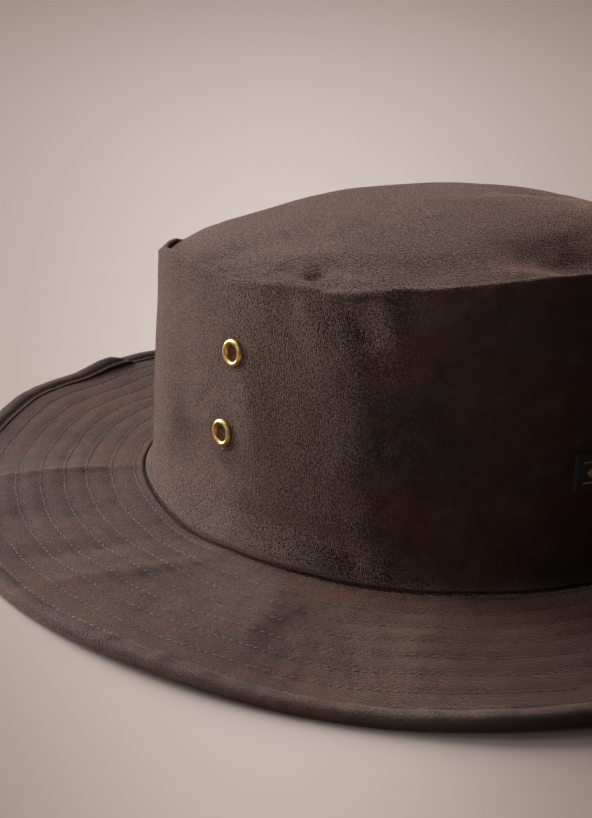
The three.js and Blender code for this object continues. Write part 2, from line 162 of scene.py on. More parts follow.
# Creases of the crown wall. Ends: turn, and height above the foot in mm.
WALL_CREASES = (
    ((120, 15), (92, 13), 5, -1.3), ((92, 13), (56, 11.5), 4.5, -1.2), ((112, 3.5), (88, 4), 3.6, 1.6),
    ((90, 4), (62, 3), 3.6, 1.8), ((114, 29), (99, 21), 11, -2.5), ((112, 62), (104, 44), 9, -0.8),
    ((88, 62), (82, 30), 8, 1.7), ((64, 91), (59, 75), 6.5, -2.1), ((106, 28), (86, 21), 7, -2.4),
    ((62, 7), (57, 4), 3, -0.8),
    ((76, 90), (69, 70), 5, 1.5), ((70, 92), (61, 80), 5, -0.7), ((71, 66), (57, 60), 9, 0.45),
    ((70, 50), (64, 38), 7, -0.4), ((90, 19), (76, 11), 5, -0.5), ((67, 8), (59, 5), 4, -0.4),
    ((98, 34), (87, 27), 5, -0.4), ((122, 12), (101, 10), 4, 0.35), ((124, 70), (119, 40), 7, 0.45),
    ((111, 82), (106, 60), 6, -0.35), ((52, 72), (40, 50), 10, 0.35), ((34, 60), (22, 40), 9, -0.35),
    ((148, 78), (141, 40), 8, -0.5), ((166, 74), (171, 30), 9, 0.5), ((190, 70), (204, 46), 8, -0.5),
    ((226, 80), (218, 52), 7, 0.6), ((243, 72), (251, 34), 7, -0.5), ((262, 80), (257, 62), 6, 0.4),
    ((286, 84), (296, 60), 7, 0.7), ((300, 76), (309, 52), 7, -0.6), ((330, 66), (338, 34), 9, 0.4),
)

# Creases of the tip. Ends: turn, and share of the way to the rim.
TIP_CREASES = (
    ((71, 0.16), (17, 0.24), 6, 0.35), ((17, 0.24), (339, 0.537), 5.5, 0.8),
    ((339, 0.537), (322, 0.70), 5.5, 0.4),
    ((320, 0.3), (315, 0.62), 6, -1.1), ((72, 0.93), (66, 0.935), 3, 0.8),
    ((107, 0.935), (97, 0.925), 2.2, 0.6),
    ((90, 0.915), (86, 0.905), 2.5, 0.5), ((109, 0.905), (98, 0.885), 2, -0.5),
    ((109, 0.945), (104, 0.925), 1.8, -0.5), ((107, 0.92), (98, 0.91), 3, 0.5),
    ((89, 0.82), (66, 0.83), 3.2, 0.6), ((78.5, 0.928), (73.5, 0.91), 1.7, -1.5),
    ((73.5, 0.9), (69.5, 0.93), 2.2, 1.2), ((71.5, 0.957), (68, 0.965), 1.4, -1.2),
    ((67.5, 0.945), (64, 0.955), 2.0, 1.0), ((86, 0.9), (80, 0.915), 2.0, -0.9),
    ((101, 0.87), (87, 0.935), 2.2, -0.6), ((103, 0.85), (91, 0.9), 2.2, 0.45),
    ((128, 0.79), (106, 0.94), 3, -0.6),
    ((124, 0.75), (110, 0.86), 3.5, 0.45), ((24, 0.87), (10, 0.925), 6, -0.7),
    ((52, 0.90), (34, 0.93), 3, -0.35),
    ((56, 0.84), (30, 0.8), 6, 0.4), ((146, 0.82), (166, 0.88), 4, -0.5),
    ((182, 0.92), (170, 0.84), 3, 0.5),
    ((204, 0.9), (196, 0.8), 3, -0.5), ((231, 0.93), (243, 0.82), 3.5, 0.6),
    ((252, 0.9), (262, 0.84), 3, -0.5),
    ((290, 0.93), (280, 0.8), 3.5, 0.6), ((312, 0.9), (322, 0.84), 3, -0.5),
    ((350, 0.92), (338, 0.82), 4, 0.5),
)

# Creases of the brim. Ends: turn, and mm out from the crown's foot.
BRIM_CREASES = (
    ((85, 7), (91, 32), 4.2, 0.6), ((91, 32), (96, 62), 4.2, 0.6), ((130.5, 6), (128, 66), 2.6, 0.7),
    ((99, 20), (103, 56), 6, -0.9),
    ((136, 10), (134, 60), 4, -0.4),
    ((112, 18), (117, 60), 7, -0.4), ((84, 30), (79, 62), 5, -0.3), ((70, 10), (66, 50), 5, 0.35),
    ((56, 20), (52, 60), 6, -0.3), ((44, 8), (47, 48), 5, 0.3), ((27, 20), (24, 62), 6, -0.25),
    ((142, 10), (146, 55), 6, -0.35), ((153, 12), (157, 60), 4.5, 0.4), ((171, 16), (176, 58), 6, -0.35),
    ((190, 8), (187, 50), 4, 0.4), ((212, 12), (216, 60), 6, -0.35), ((229, 8), (226, 62), 4, 0.5),
    ((266, 8), (268, 60), 3.5, 0.5), ((281, 20), (286, 60), 6, -0.35), ((312, 8), (315, 58), 4, 0.45),
    ((338, 12), (334, 60), 6, -0.3),
)


def band(value: Array, middle: float, reach: float) -> Array:
    """A soft bell: 1 in the middle and nearly 0 at twice the reach."""
    return np.exp(-(((value - middle) / reach) ** 2))


def bell(turn: Array, row: Wave | Swell) -> Array:
    """How near a turn lies to a row's turn, as a soft bell from 1 to 0."""
    return band((turn - row.turn + 180) % 360 - 180, 0, row.spread)


def waves(rows: tuple[Wave, ...], turn: Array, size: float) -> Array:
    """The rise in mm of a table of waves at a turn, their rises being shares of a size."""
    return size * sum(row.rise * bell(turn, row) for row in rows)


def swells(rows: tuple[Swell, ...], turn: Array, level: Array, size: float) -> Array:
    """The rise in mm of a table of swells at a turn and a level, their lifts being shares of a size."""
    return size * sum(row.lift * bell(turn, row) * band(level, row.level, row.reach) for row in rows)


def blurred(level: Array, knots: tuple[float, ...], values: tuple[float, ...], blur: Array) -> Array:
    """A table's value at a level, with its corners rounded over a blur on each side."""
    weights = (1, 4, 6, 4, 1)
    found = (part * np.interp(level + step * blur / 2, knots, values)
             for step, part in zip(range(-2, 3), weights))
    return sum(found) / sum(weights)


def smooth(low: float, high: float, value: Array) -> Array:
    """0 below low, 1 above high and an S curve between."""
    part = np.clip((value - low) / (high - low), 0, 1)
    return part * part * (3 - 2 * part)


def cloth_noise(points: Array, size: float, seed: int) -> Array:
    """Smooth unevenness from -1 to 1 in space.

    Args:
        points: Places in mm, the last axis being x, y, z.
        size: How far apart its bumps lie, in mm.
        seed: Which unevenness.

    Returns:
        One value for each place.
    """
    cell = points / size + seed * 17.31
    base = np.floor(cell).astype(np.int64)
    part = cell - base
    fade = part**3 * (part * (part * 6 - 15) + 10)
    total = np.zeros(points.shape[:-1])
    for corner in itertools.product((0, 1), repeat=3):
        x, y, z = np.moveaxis(base + np.array(corner), -1, 0)
        number = (x * 73856093) ^ (y * 19349663) ^ (z * 83492791)
        for shift, factor in ((13, 1274126177), (15, 1103515245)):
            number = ((number ^ (number >> shift)) * factor) & 0x7FFFFFFF
        weight = np.prod(np.where(np.array(corner) == 1, fade, 1 - fade), axis=-1)
        total += weight * (number / 0x3FFFFFFF - 1)
    return total


def uneven(points: Array, *layers: tuple[float, float, int]) -> Array:
    """Unevenness of several sizes together: the height in mm, the size and the seed of each."""
    return sum(height * cloth_noise(points, size, seed) for height, size, seed in layers)


def creased(x: Array, y: Array, rows: tuple, at: Callable) -> Array:
    """The lift of a table of creases at places of the flat cloth.

    Args:
        x: Places across the flat cloth, in mm.
        y: Places along it.
        rows: The creases: both ends, the width in mm, and the lift in mm, below 0 in a valley.
        at: What turns the two numbers of an end into its place on the flat cloth.

    Returns:
        The lift in mm.
    """
    relief = np.zeros(np.broadcast(x, y).shape)
    for start, end, width, lift in rows:
        (x0, y0), (x1, y1) = at(*start), at(*end)
        run_x, run_y = x1 - x0, y1 - y0
        part = np.clip(((x - x0) * run_x + (y - y0) * run_y) / (run_x**2 + run_y**2), 0, 1)
        away = np.hypot(x - x0 - part * run_x, y - y0 - part * run_y)
        relief += lift * np.sin(np.pi * np.clip(0.12 + 0.76 * part, 0, 1)) * band(away, 0, width)
    return relief


@dataclass(frozen=True)
class HatForm:
    """The hat's sizes in mm and the surfaces that follow from them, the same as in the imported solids."""

    head_width: float = 172
    head_length: float = 204
    crown_height: float = 88.9
    crown_pitch: float = 12.1
    rim_inset_side: float = 10.6
    rim_inset_end: float = 3.1
    rim_lean: float = 1.1
    rim_thickness: float = 2.6
    rim_depth: float = 5.3
    foot_thickness: float = 2.8
    foot_hem: float = 3.5
    wall_cloth: float = 1.6
    tip_cloth: float = 1.6
    tip_drop: float = 1.8
    dome_rise: float = 16.8
    brim_width: float = 71.2
    brim_cloth: float = 2
    brim_tuck: float = 3
    foot_height: float = 6.1
    foot_tilt: float = 1
    binding_width: float = 8.5
    binding_cloth: float = 1
    gap: float = 0.3
    stitch_rows: tuple[float, ...] = (4, 12.8, 21.5, 29.7, 38.3, 47, 56)
    quilt_depth: float = 0.24
    eyelets: tuple[tuple[str, float, float], ...] = (("upper", 90, 65.3), ("lower", 91.6, 37.7))
    wall_run: float = 1.63  # mm along the wall for one degree

    def foot_level(self, turn: Array) -> Array:
        """Height of the brim's upper face at the crown's foot."""
        tilt = self.foot_tilt * np.cos(np.radians(turn))
        return self.foot_height + tilt + waves(FOOT_WAVES, turn, self.foot_height)

    def wall_height(self, turn: Array) -> Array:
        """Height of the wall from its foot to the top of the rim."""
        rise = self.crown_height + self.crown_pitch * np.cos(np.radians(turn)) + waves(RIM_LIFTS, turn, 1.0)
        return rise + waves(RIM_WAVES, turn, self.crown_height) - self.gap

    def wall_base(self, turn: Array, share: Array) -> Array:
        """Offset outwards of the wall's outer face before its creases, in mm.

        The flare above the foot is stretched where it stands tall, at both sides, and short elsewhere.
        """
        tall = band(turn, 84, 26) + 0.7 * band(turn, 262, 34)
        flared = np.clip(share, 0, 1) ** (0.84 + 0.24 * tall)
        blur = 0.012 + 0.05 * np.clip(flared - 0.05, 0, 1) * np.clip(0.98 - flared, 0, 1)
        section = blurred(flared, WALL_SHARES, WALL_OFFSETS, blur) * self.crown_height
        return section + swells(WALL_DENTS, turn, share, self.crown_height)

    def wall_relief(self, turn: Array, share: Array) -> Array:
        """Creases, unevenness and the puff of the cloth round each eyelet, in mm."""
        turn, share = np.broadcast_arrays(turn, share)
        along, height = turn * self.wall_run, share * self.wall_height(turn)
        relief = creased(along, height, WALL_CREASES, lambda at, up: (at * self.wall_run, up))
        place = self.crown_point(turn, share, np.zeros(turn.shape))
        relief = relief + uneven(place, (0.55, 34, 1), (0.22, 13, 2), (0.07, 5, 3))
        for _, at, up in self.eyelets:
            for side in (at, 360 - at):
                away = np.hypot((turn - side) * self.wall_run, height - up)
                relief = relief * (1 - band(away, 0, 9)) + 0.3 * band(away, 8.5, 3)
        rim_puckers = 0.16 * cloth_noise(place * np.array((1, 1, 0.25)), 5, 4) * smooth(0.86, 0.97, share)
        return relief * smooth(0, 0.03, share) * (1 - smooth(0.95, 1, share)) + rim_puckers

    def wall_out(self, turn: Array, share: Array) -> Array:
        """Offset outwards of the wall's outer face with all its relief, in mm."""
        return self.wall_base(turn, share) + self.wall_relief(turn, share)

    def crown_point(self, turn: Array, share: Array, out: Array) -> Array:
        """A place near the crown wall: a share of its height, and mm outwards from the plain cone."""
        angle = np.radians(turn)
        across = self.head_width / 2 - self.rim_inset_side * share + out
        along = self.head_length / 2 - self.rim_inset_end * share + out
        x, y = -across * np.sin(angle), -along * np.cos(angle) - self.rim_lean * share
        z = self.foot_level(turn) + self.gap + self.wall_height(turn) * share
        return np.stack(np.broadcast_arrays(x, y, z), -1)

    def brim_point(self, turn: Array, distance: Array, height: Array) -> Array:
        """A place at a distance out from the crown's foot and a height above the floor."""
        angle = np.radians(turn)
        across, along = self.head_width / 2 + distance, self.head_length / 2 + distance
        return np.stack(np.broadcast_arrays(-across * np.sin(angle), -along * np.cos(angle), height), -1)

    def brim_base(self, turn: Array, distance: Array) -> Array:
        """Height of the brim's upper face before its relief. It is level under the binding."""
        share = np.clip(distance / (self.brim_width - self.binding_width), 0, 1)
        sink = waves(EDGE_WAVES, turn, self.brim_width) - 0.007 * self.brim_width
        edge = np.maximum(sink + waves(EDGE_LIFTS, turn, 1.0), 0)
        edge = edge + self.binding_cloth + self.gap + self.brim_cloth
        ridge = waves(BRIM_RIDGES, turn, self.brim_width) * np.sin(np.pi * share)
        return self.foot_level(turn) * (1 - share) + edge * share + ridge

    def quilt(self, distance: Array) -> Array:
        """How far the cloth stands puffed between the rows of stitches: 0 on a row, up to 1 between."""
        return 1 - band(np.min([np.abs(distance - row) for row in self.stitch_rows], axis=0), 0, 2.3)

    def sewn(self, distance: Array) -> Array:
        """Where the brim is quilted: 1 there, and 0 under the crown's foot and under the binding."""
        return smooth(0.5, 3, distance) * (1 - smooth(58.5, 62.7, distance))

    def brim_relief(self, turn: Array, distance: Array) -> Array:
        """Creases, quilting and small puckers along the rows of stitches, in mm."""
        turn, distance = np.broadcast_arrays(turn, distance)
        place = self.brim_point(turn, distance, np.zeros(turn.shape))
        soft = creased(place[..., 0], place[..., 1], BRIM_CREASES,
                       lambda at, out: self.brim_point(at, out, 0)[:2])
        soft = (soft + uneven(place, (0.35, 26, 11), (0.14, 9, 12))) * smooth(-0.5, 4, distance)
        along = np.stack((turn * 2.2, distance * 0.45, np.zeros(turn.shape)), -1)
        pucker = 0.12 * cloth_noise(along, 3.4, 13) * band(self.quilt(distance), 0.35, 0.5)
        quilted = self.quilt_depth * (self.quilt(distance) - 0.75) + pucker
        return soft * (1 - smooth(58.5, 62.7, distance)) + quilted * self.sewn(distance)

    def brim_height(self, turn: Array, distance: Array) -> Array:
        """Height of the brim's upper face with all its relief, in mm."""
        return self.brim_base(turn, distance) + self.brim_relief(turn, distance)

    def tip_point(self, turn: Array, out: Array) -> Array:
        """A place on the tip's upper face at a share of the way to the rim, before its relief."""
        turn, out = np.broadcast_arrays(turn, out)
        ones, angle = np.ones(turn.shape), np.radians(turn)
        rim = self.wall_base(turn, ones)
        edge = self.crown_point(turn, ones, rim - self.rim_thickness - self.gap)
        level = self.foot_height + self.crown_height
        tilt = (self.foot_tilt + self.crown_pitch) * np.cos(angle)
        plane = level + tilt * out + (edge[..., 2] - level - tilt) * out**6
        power = 2.5 + 0.6 * np.cos(angle - math.radians(285))
        puckers = swells(TIP_PUCKERS, turn, out, 1.0) * np.minimum((1 - out) / 0.05, 1)
        dome = self.dome_rise * (1 - out**power + puckers)
        x, y = edge[..., 0] * out, edge[..., 1] * out - self.rim_lean * (1 - out)
        return np.stack((x, y, plane - self.tip_drop * out**4 + dome), -1)

    def tip_relief(self, turn: Array, out: Array) -> Array:
        """Creases, unevenness and the gathers along the rim's seam, in mm."""
        turn, out = np.broadcast_arrays(turn, out)
        place = self.tip_point(turn, out)
        relief = creased(place[..., 0], place[..., 1], TIP_CREASES,
                         lambda at, part: self.tip_point(at, part)[:2])
        relief = relief + swells(TIP_LIFTS, turn, out, 1.0)
        relief = relief + uneven(place, (0.5, 30, 21), (0.2, 11, 22), (0.06, 4.5, 23))
        along = np.stack((turn * 1.5, out * 22, np.zeros(turn.shape)), -1)
        gathers = 0.38 * cloth_noise(along, 5, 24) * smooth(0.84, 0.97, out)
        return (relief + gathers) * (1 - smooth(0.965, 1, out))

    def eyelet_frame(self, turn: float, height: float) -> Array:
        """A place on the wall with its own X along it, Y out of it and Z up it, as a 4 by 4 matrix in mm."""
        tall = float(self.wall_height(np.array(turn)))

        def at(turned: float, share: float) -> Array:
            """A point of the plain wall."""
            places = np.array([turned]), np.array([share])
            return self.crown_point(*places, self.wall_base(*places))[0]

        along = at(turn + 1, height / tall) - at(turn - 1, height / tall)
        up = at(turn, (height + 2) / tall) - at(turn, (height - 2) / tall)
        along, up = along / np.linalg.norm(along), up / np.linalg.norm(up)
        out = np.cross(up, along)
        out /= np.linalg.norm(out)
        matrix = np.eye(4)
        matrix[:3] = np.stack((along, out, np.cross(along, out), at(turn, height / tall)), 1)
        return matrix


def linear(colour: str) -> tuple[float, ...]:
    """An sRGB hex colour as linear red, green, blue and alpha."""
    parts = [int(colour[place:place + 2], 16) / 255 for place in (1, 3, 5)]
    return (*(part / 12.92 if part <= 0.04045 else ((part + 0.055) / 1.055) ** 2.4 for part in parts), 1.0)


def add_node(tree: NodeTree, kind: str, values: dict, out: str | int = 0) -> NodeSocket | None:
    """Adds a node with its settings and links.

    Args:
        tree: The node tree.
        kind: Blender's name of the node without its leading ShaderNode.
        values: A value, or the output that it comes from, by the name of a property, or by the name or
            number of an input.
        out: The name or number of the output that is wanted.

    Returns:
        That output, if the node has any.
    """
    node = tree.nodes.new("ShaderNode" + kind)
    for name, value in values.items():
        if isinstance(value, NodeSocket):
            tree.links.new(value, node.inputs[name])
        elif isinstance(name, str) and hasattr(node, name):
            setattr(node, name, value)
        else:
            node.inputs[name].default_value = value
    return node.outputs[out] if node.outputs else None


WAVE_RUN = 0.314  # a wave texture of scale 1 repeats after this


@dataclass(frozen=True)
class Finish:
    """The look of one real stuff. Each kind of stuff says what its shader takes."""

    name: str

    def shader(self, add: Callable, space: NodeSocket) -> dict:
        """What the shader takes.

        Args:
            add: What adds a node to the material.
            space: Places in the piece's own space, in metres.

        Returns:
            A value or an output by the name of the shader's input.
        """
        raise NotImplementedError

    def build(self) -> Material:
        """The material."""
        material = bpy.data.materials.new(self.name)
        material.use_nodes = True
        material.node_tree.nodes.clear()
        add = partial(add_node, material.node_tree)
        surface = add("BsdfPrincipled", self.shader(add, add("TexCoord", {}, "Object")))
        add("OutputMaterial", {"Surface": surface})
        return material


@dataclass(frozen=True)
class WaxedCotton(Finish):
    """Plain-woven cotton canvas, dyed brown and dressed with wax.

    The wax darkens the cloth and gives it a low, slightly greasy shine. It breaks on crests, which turn
    lighter, and gathers in creases, which stay dark. The crests also carry painted highlight, and the
    creases and seams carry painted shade. The dye shows through redder in places. Cloth that faces the key
    lamp shows pale specks of dust, partly painted glints, and dark pits of grain, which are painted grain
    shade. The hat's side towards the lamp is painted lighter. Cloth turned away from the lamp, and the side
    of the hat away from it, are painted darker as shade.
    """

    cloth: str
    red: str
    grey: str
    rubbed: str
    # The dark colour serves creases and also painted shade.
    creased: str
    run: ThreadRun = ThreadRun.STRAIGHT
    thread: float = 0.62  # mm between threads: the real 0.45 mm is drawn coarser so that it shows
    grains: float = 2000.0  # wax grains in a metre: the real 0.2 mm is drawn coarser so that it shows
    roughness: float = 0.72
    sheen: float = 0.5
    grain: float = 1.0
    kept: float = 0.0  # how much painted shade darkens the side of the hat away from the key lamp
    lamp_way: tuple[float, float, float] = (-0.75, 0.45, 0.48)  # which way the key lamp lies: cloth facing it shows painted specks, cloth turned away painted shade
    painted_shade_way: tuple[float, float, float] = (0.75, -0.66, 0.0)  # which way the side lies that is darkened by painted shade
    swept: tuple[float, float, float] = (0.42, 1.5, 1.0)  # how patches are drawn out, at 45 degrees
    slubs: tuple[float, float, float] = (1.9, 0.75, 1.0)  # how the grain is drawn out on top of that

    def shader(self, add: Callable, space: NodeSocket) -> dict:
        """Woven threads, grain of the wax, patches of dye, crests and creases that are partly wear and
        partly painted light and shade, and painted light and shade by side.
        """
        flat = add("UVMap", {"uv_map": WEAVE_MAP})
        flat = add("Mapping", {"Rotation": (0, 0, self.run.value), "Vector": flat})
        wave = {"Scale": WAVE_RUN / self.thread, "Distortion": 2.5, "Detail": 2.0, "Detail Scale": 1.5,
                "Detail Roughness": 0.6, "Vector": flat}
        bands = [add("TexWave", {"bands_direction": way, **wave}, "Fac") for way in "XY"]
        swept = add("VectorRotate", {"rotation_type": "Z_AXIS", "Angle": math.radians(45), "Vector": space})
        swept = add("VectorMath", {"operation": "MULTIPLY", 0: swept, 1: self.swept})
        slubs = add("VectorMath", {"operation": "MULTIPLY", 0: swept, 1: self.slubs})
        normal = add("NewGeometry", {}, "Normal")
        found = {
            "weave": add("Math", {"operation": "MULTIPLY", 0: bands[0], 1: bands[1]}),
            "wear": add("Attribute", {"attribute_name": WEAR_AND_SHADE_LAYER}, "Fac"),
            "side": add("SeparateXYZ", {0: space}, "X"),
            "facing": add("VectorMath", {"operation": "DOT_PRODUCT", 0: normal, 1: self.lamp_way}, "Value"),
            "away": add("VectorMath", {"operation": "DOT_PRODUCT", 0: space, 1: self.painted_shade_way}, "Value"),
        }
        noises = {  # bumps in a metre, detail, roughness, and the space that they lie in
            "mottle": (95.0, 6.0, 0.65, space), "patches": (24.0, 4.0, 0.6, swept),
            "blotches": (37.0, 4.0, 0.6, swept), "grain": (self.grains, 0.0, 0.5, slubs),
            "speck": (3000.0, 1.0, 0.5, space),
        }
        for name, (scale, detail, rough, place) in noises.items():
            found[name] = add("TexNoise", {"Scale": scale, "Detail": detail, "Roughness": rough,
                                           "Vector": place})
        steps = {  # the source, where on it the soft step starts and ends, and what it gives there
            # Cloth turned to the key lamp shows painted specks; cloth turned away from it is darkened by
            # painted shade.
            "lit_side": ("facing", 0.3, 0.8, 0.05, 1.0), "shaded": ("facing", 0.68, 0.2, 0.0, 0.52),
            # The hat's -X side, towards the key lamp, is painted lighter as painted light.
            "raised": ("facing", 0.15, 0.7, 0.25, 1.0), "painted_light_side": ("side", 0.05, -0.16, 0.0, 0.13),
            # The side of the hat away from the key lamp is painted darker as shade.
            "waxed": ("away", 0.0, 0.07, 0.0, self.kept), "rubbed": ("wear", 0.05, 0.9, 0.0, 1.0),
            # Crests are lighter, partly rubbed wax and partly painted highlight; hollows are darker, partly
            # gathered wax and partly painted shade.
            "hollow": ("wear", -0.1, -1.1, 0.0, 1.0), "crease_wax_and_shade": ("hollow", 0.0, 1.0, 0.0, 0.65),
            "dyed": ("patches", 0.46, 0.62, 0.0, 0.7), "greyed": ("blotches", 0.5, 0.7, 0.0, 0.55),
            "paled": ("mottle", 0.48, 0.72, 0.0, 0.28), "dimmed": ("mottle", 0.5, 0.28, 0.0, 0.4),
            # Pale specks of dust and dark pits of grain; they are later kept to the lit side as painted
            # glints and painted grain shade.
            "broken": ("mottle", 0.25, 0.6, 0.35, 0.8), "dust": ("grain", 0.52, 0.64, 0.0, 1.5 * self.grain),
            "pits": ("grain", 0.49, 0.36, 0.0, 1.1 * self.grain), "gaps": ("weave", 0.28, 0.0, 0.0, 0.3),
            "matt": ("mottle", 0.3, 0.7, self.roughness - 0.08, self.roughness + 0.08),
            "rubbed_matt": ("rubbed", 0.0, 1.0, 0.0, 0.1),
        }
        for name, (source, *ends) in steps.items():
            found[name] = add("MapRange", {"interpolation_type": "SMOOTHSTEP", 0: found[source],
                                           **dict(enumerate(ends, 1))})
        joined = {
            # Pale specks on the lit side are partly dust and partly painted glints; dark pits there are
            # painted grain shade.
            "rubbed_and_lit_crests": ("MULTIPLY", "rubbed", "broken"), "dust_and_glints": ("MULTIPLY", "dust", "lit_side"),
            "pits_and_grain_shade": ("MULTIPLY", "pits", "lit_side"), "dull": ("ADD", "matt", "rubbed_matt"),
        }
        for name, (how, first, second) in joined.items():
            found[name] = add("Math", {"operation": how, 0: found[first], 1: found[second]})
        colour = linear(self.cloth)
        # Colour layers: dye and random tone, painted light on the lamp's side, crests lighter as rubbed wax
        # and painted highlight, creases darker as gathered wax and painted shade, specks as dust and painted
        # glints, then painted shade away from the lamp.
        for over, amounts in (
            (self.red, ("dyed",)), (self.grey, ("greyed",)), (self.rubbed, ("painted_light_side", "paled")),
            (self.creased, ("dimmed",)), (self.rubbed, ("rubbed_and_lit_crests",)), (self.creased, ("crease_wax_and_shade",)),
            (self.rubbed, ("dust_and_glints",)), (self.creased, ("pits_and_grain_shade", "shaded", "waxed", "gaps")),
        ):
            for amount in amounts:
                colour = add("Mix", {"data_type": "RGBA", 0: found[amount], 6: colour, 7: linear(over)}, 2)
        height = found["grain"]
        for name in ("speck", "weave"):
            height = add("Math", {"operation": "MULTIPLY_ADD", 0: found[name], 1: 0.5, 2: height})
        bump = add("Bump", {"Distance": 0.002 * self.grain, "Strength": found["raised"], "Height": height})
        return {"Base Color": colour, "Roughness": found["dull"], "Normal": bump, "IOR": 1.46,
                "Specular IOR Level": 0.14, "Sheen Weight": self.sheen, "Sheen Roughness": 0.17,
                "Sheen Tint": linear("#E4AF9C")}


@dataclass(frozen=True)
class SewingThread(Finish):
    """Waxed cotton sewing thread: paler than the cloth, twisted and dull."""

    thread: str
    shade: str

    def shader(self, add: Callable, space: NodeSocket) -> dict:
        """A pale thread whose twist shows as fine dark lines."""
        uneven_dye = add("TexNoise", {"Scale": 260.0, "Detail": 3.0, "Vector": space})
        twist = add("TexNoise", {"Scale": 2600.0, "Detail": 1.0, "Vector": space})
        amount = add("MapRange", {"interpolation_type": "SMOOTHSTEP", 0: uneven_dye, 1: 0.35, 2: 0.65,
                                  3: 0.0, 4: 0.6})
        amount = add("Math", {"operation": "MULTIPLY_ADD", 0: twist, 1: 0.5, 2: amount})
        colour = add("Mix", {"data_type": "RGBA", 0: amount, 6: linear(self.thread),
                             7: linear(self.shade)}, 2)
        return {"Base Color": colour, "Roughness": 0.7, "Sheen Weight": 0.2}


@dataclass(frozen=True)
class PolishedBrass(Finish):
    """Pressed and barrel-polished brass: bright, with faint handling marks and a little tarnish."""

    name: str = "polished_brass"
    metal: str = "#F0CC80"
    tarnish: str = "#A87F3C"

    def shader(self, add: Callable, space: NodeSocket) -> dict:
        """A mirror-like gold with soft tarnish and fine scuffs."""
        stain = add("TexNoise", {"Scale": 420.0, "Detail": 4.0, "Vector": space})
        scuff = add("TexNoise", {"Scale": 3000.0, "Detail": 2.0, "Vector": space})
        amount, dull = (
            add("MapRange", {"interpolation_type": "SMOOTHSTEP", 0: stain, **dict(enumerate(ends, 1))})
            for ends in ((0.5, 0.8, 0.0, 0.6), (0.35, 0.7, 0.3, 0.42))
        )
        colour = add("Mix", {"data_type": "RGBA", 0: amount, 6: linear(self.metal),
                             7: linear(self.tarnish)}, 2)
        bump = add("Bump", {"Strength": 0.12, "Distance": 0.00005, "Height": scuff})
        return {"Base Color": colour, "Metallic": 1.0, "Roughness": dull, "Normal": bump}


@dataclass(frozen=True)
class DamaskLabel(Finish):
    """Tightly woven polyester label cloth: near black, with fine ribs and a faint satin shine."""

    name: str = "damask_label"
    ground: str = "#120F0D"
    float_thread: str = "#1E1A17"
    rib: float = 0.5  # mm: the real 0.25 mm is drawn coarser so that it shows

    def shader(self, add: Callable, space: NodeSocket) -> dict:
        """Fine woven ribs on a near-black ground."""
        flat = add("UVMap", {"uv_map": WEAVE_MAP})
        wave = {"Scale": WAVE_RUN / self.rib, "Distortion": 0.6, "Vector": flat}
        ribs = [add("TexWave", {"bands_direction": way, **wave}, "Fac") for way in "XY"]
        weave = add("Math", {"operation": "MULTIPLY", 0: ribs[0], 1: ribs[1]})
        colour = add("Mix", {"data_type": "RGBA", 0: weave, 6: linear(self.ground),
                             7: linear(self.float_thread)}, 2)
        bump = add("Bump", {"Strength": 0.6, "Distance": 0.0001, "Height": weave})
        return {"Base Color": colour, "Roughness": 0.6, "Sheen Weight": 0.05, "Normal": bump}


@dataclass(frozen=True)
class SweepPaper(Finish):
    """Matt studio paper, greige, with a soft pool of light painted into its colour that fades to the sides
    and into the distance.
    """

    name: str = "sweep_paper"
    paper: str = "#E2D4CC"
    pool_from: tuple[float, float, float] = (-0.40, -0.385, 0.0)  # metres: where the painted pool of light starts
    pool_turn: float = 48.1  # degrees from +X: the way that it runs
    pool_spread: float = 0.212
    dimmest: tuple[float, ...] = (0.14, 0.04, 0.0, 1.0)  # what is left of the painted light outside the pool

    def shader(self, add: Callable, space: NodeSocket) -> dict:
        """Matt paper with painted light, brightest round the hat."""
        moved = add("VectorMath", {"operation": "SUBTRACT", 0: space, 1: self.pool_from})
        turned = add("VectorRotate", {"rotation_type": "Z_AXIS", "Angle": -math.radians(self.pool_turn),
                                      "Vector": moved})
        run, light = add("SeparateXYZ", {0: turned}, "X"), add("SeparateXYZ", {0: turned}, "Y")
        along = add("Math", {"operation": "MAXIMUM", 0: run, 1: 0.3})
        # Painted fall-off of light: near the camera, into the distance and to the sides.
        near, far = (
            add("MapRange", {"interpolation_type": "SMOOTHSTEP", 0: run, **dict(enumerate(ends, 1))})
            for ends in ((0.24, 0.56, 0.58, 1.0), (0.62, 2.5, 1.0, 0.47))
        )
        for how, second in (
            ("DIVIDE", along), ("DIVIDE", self.pool_spread), ("POWER", 2.0), ("MULTIPLY", -1.0),
            ("EXPONENT", 0.0), ("MULTIPLY", 0.6), ("ADD", 0.4), ("MULTIPLY", near), ("MULTIPLY", far),
        ):
            light = add("Math", {"operation": how, 0: light, 1: second})
        painted_pool = add("Mix", {"data_type": "RGBA", 0: light, 6: self.dimmest, 7: (1.0, 1.0, 1.0, 1.0)}, 2)
        colour = add("Mix", {"data_type": "RGBA", "blend_type": "MULTIPLY", 0: 1.0, 6: linear(self.paper),
                             7: painted_pool}, 2)
        return {"Base Color": colour, "Roughness": 0.9, "Specular IOR Level": 0.1}


def linked(name: str, data: bpy.types.ID) -> Object:
    """A new object in the scene."""
    made = bpy.data.objects.new(name, data)
    bpy.context.scene.collection.objects.link(made)
    return made


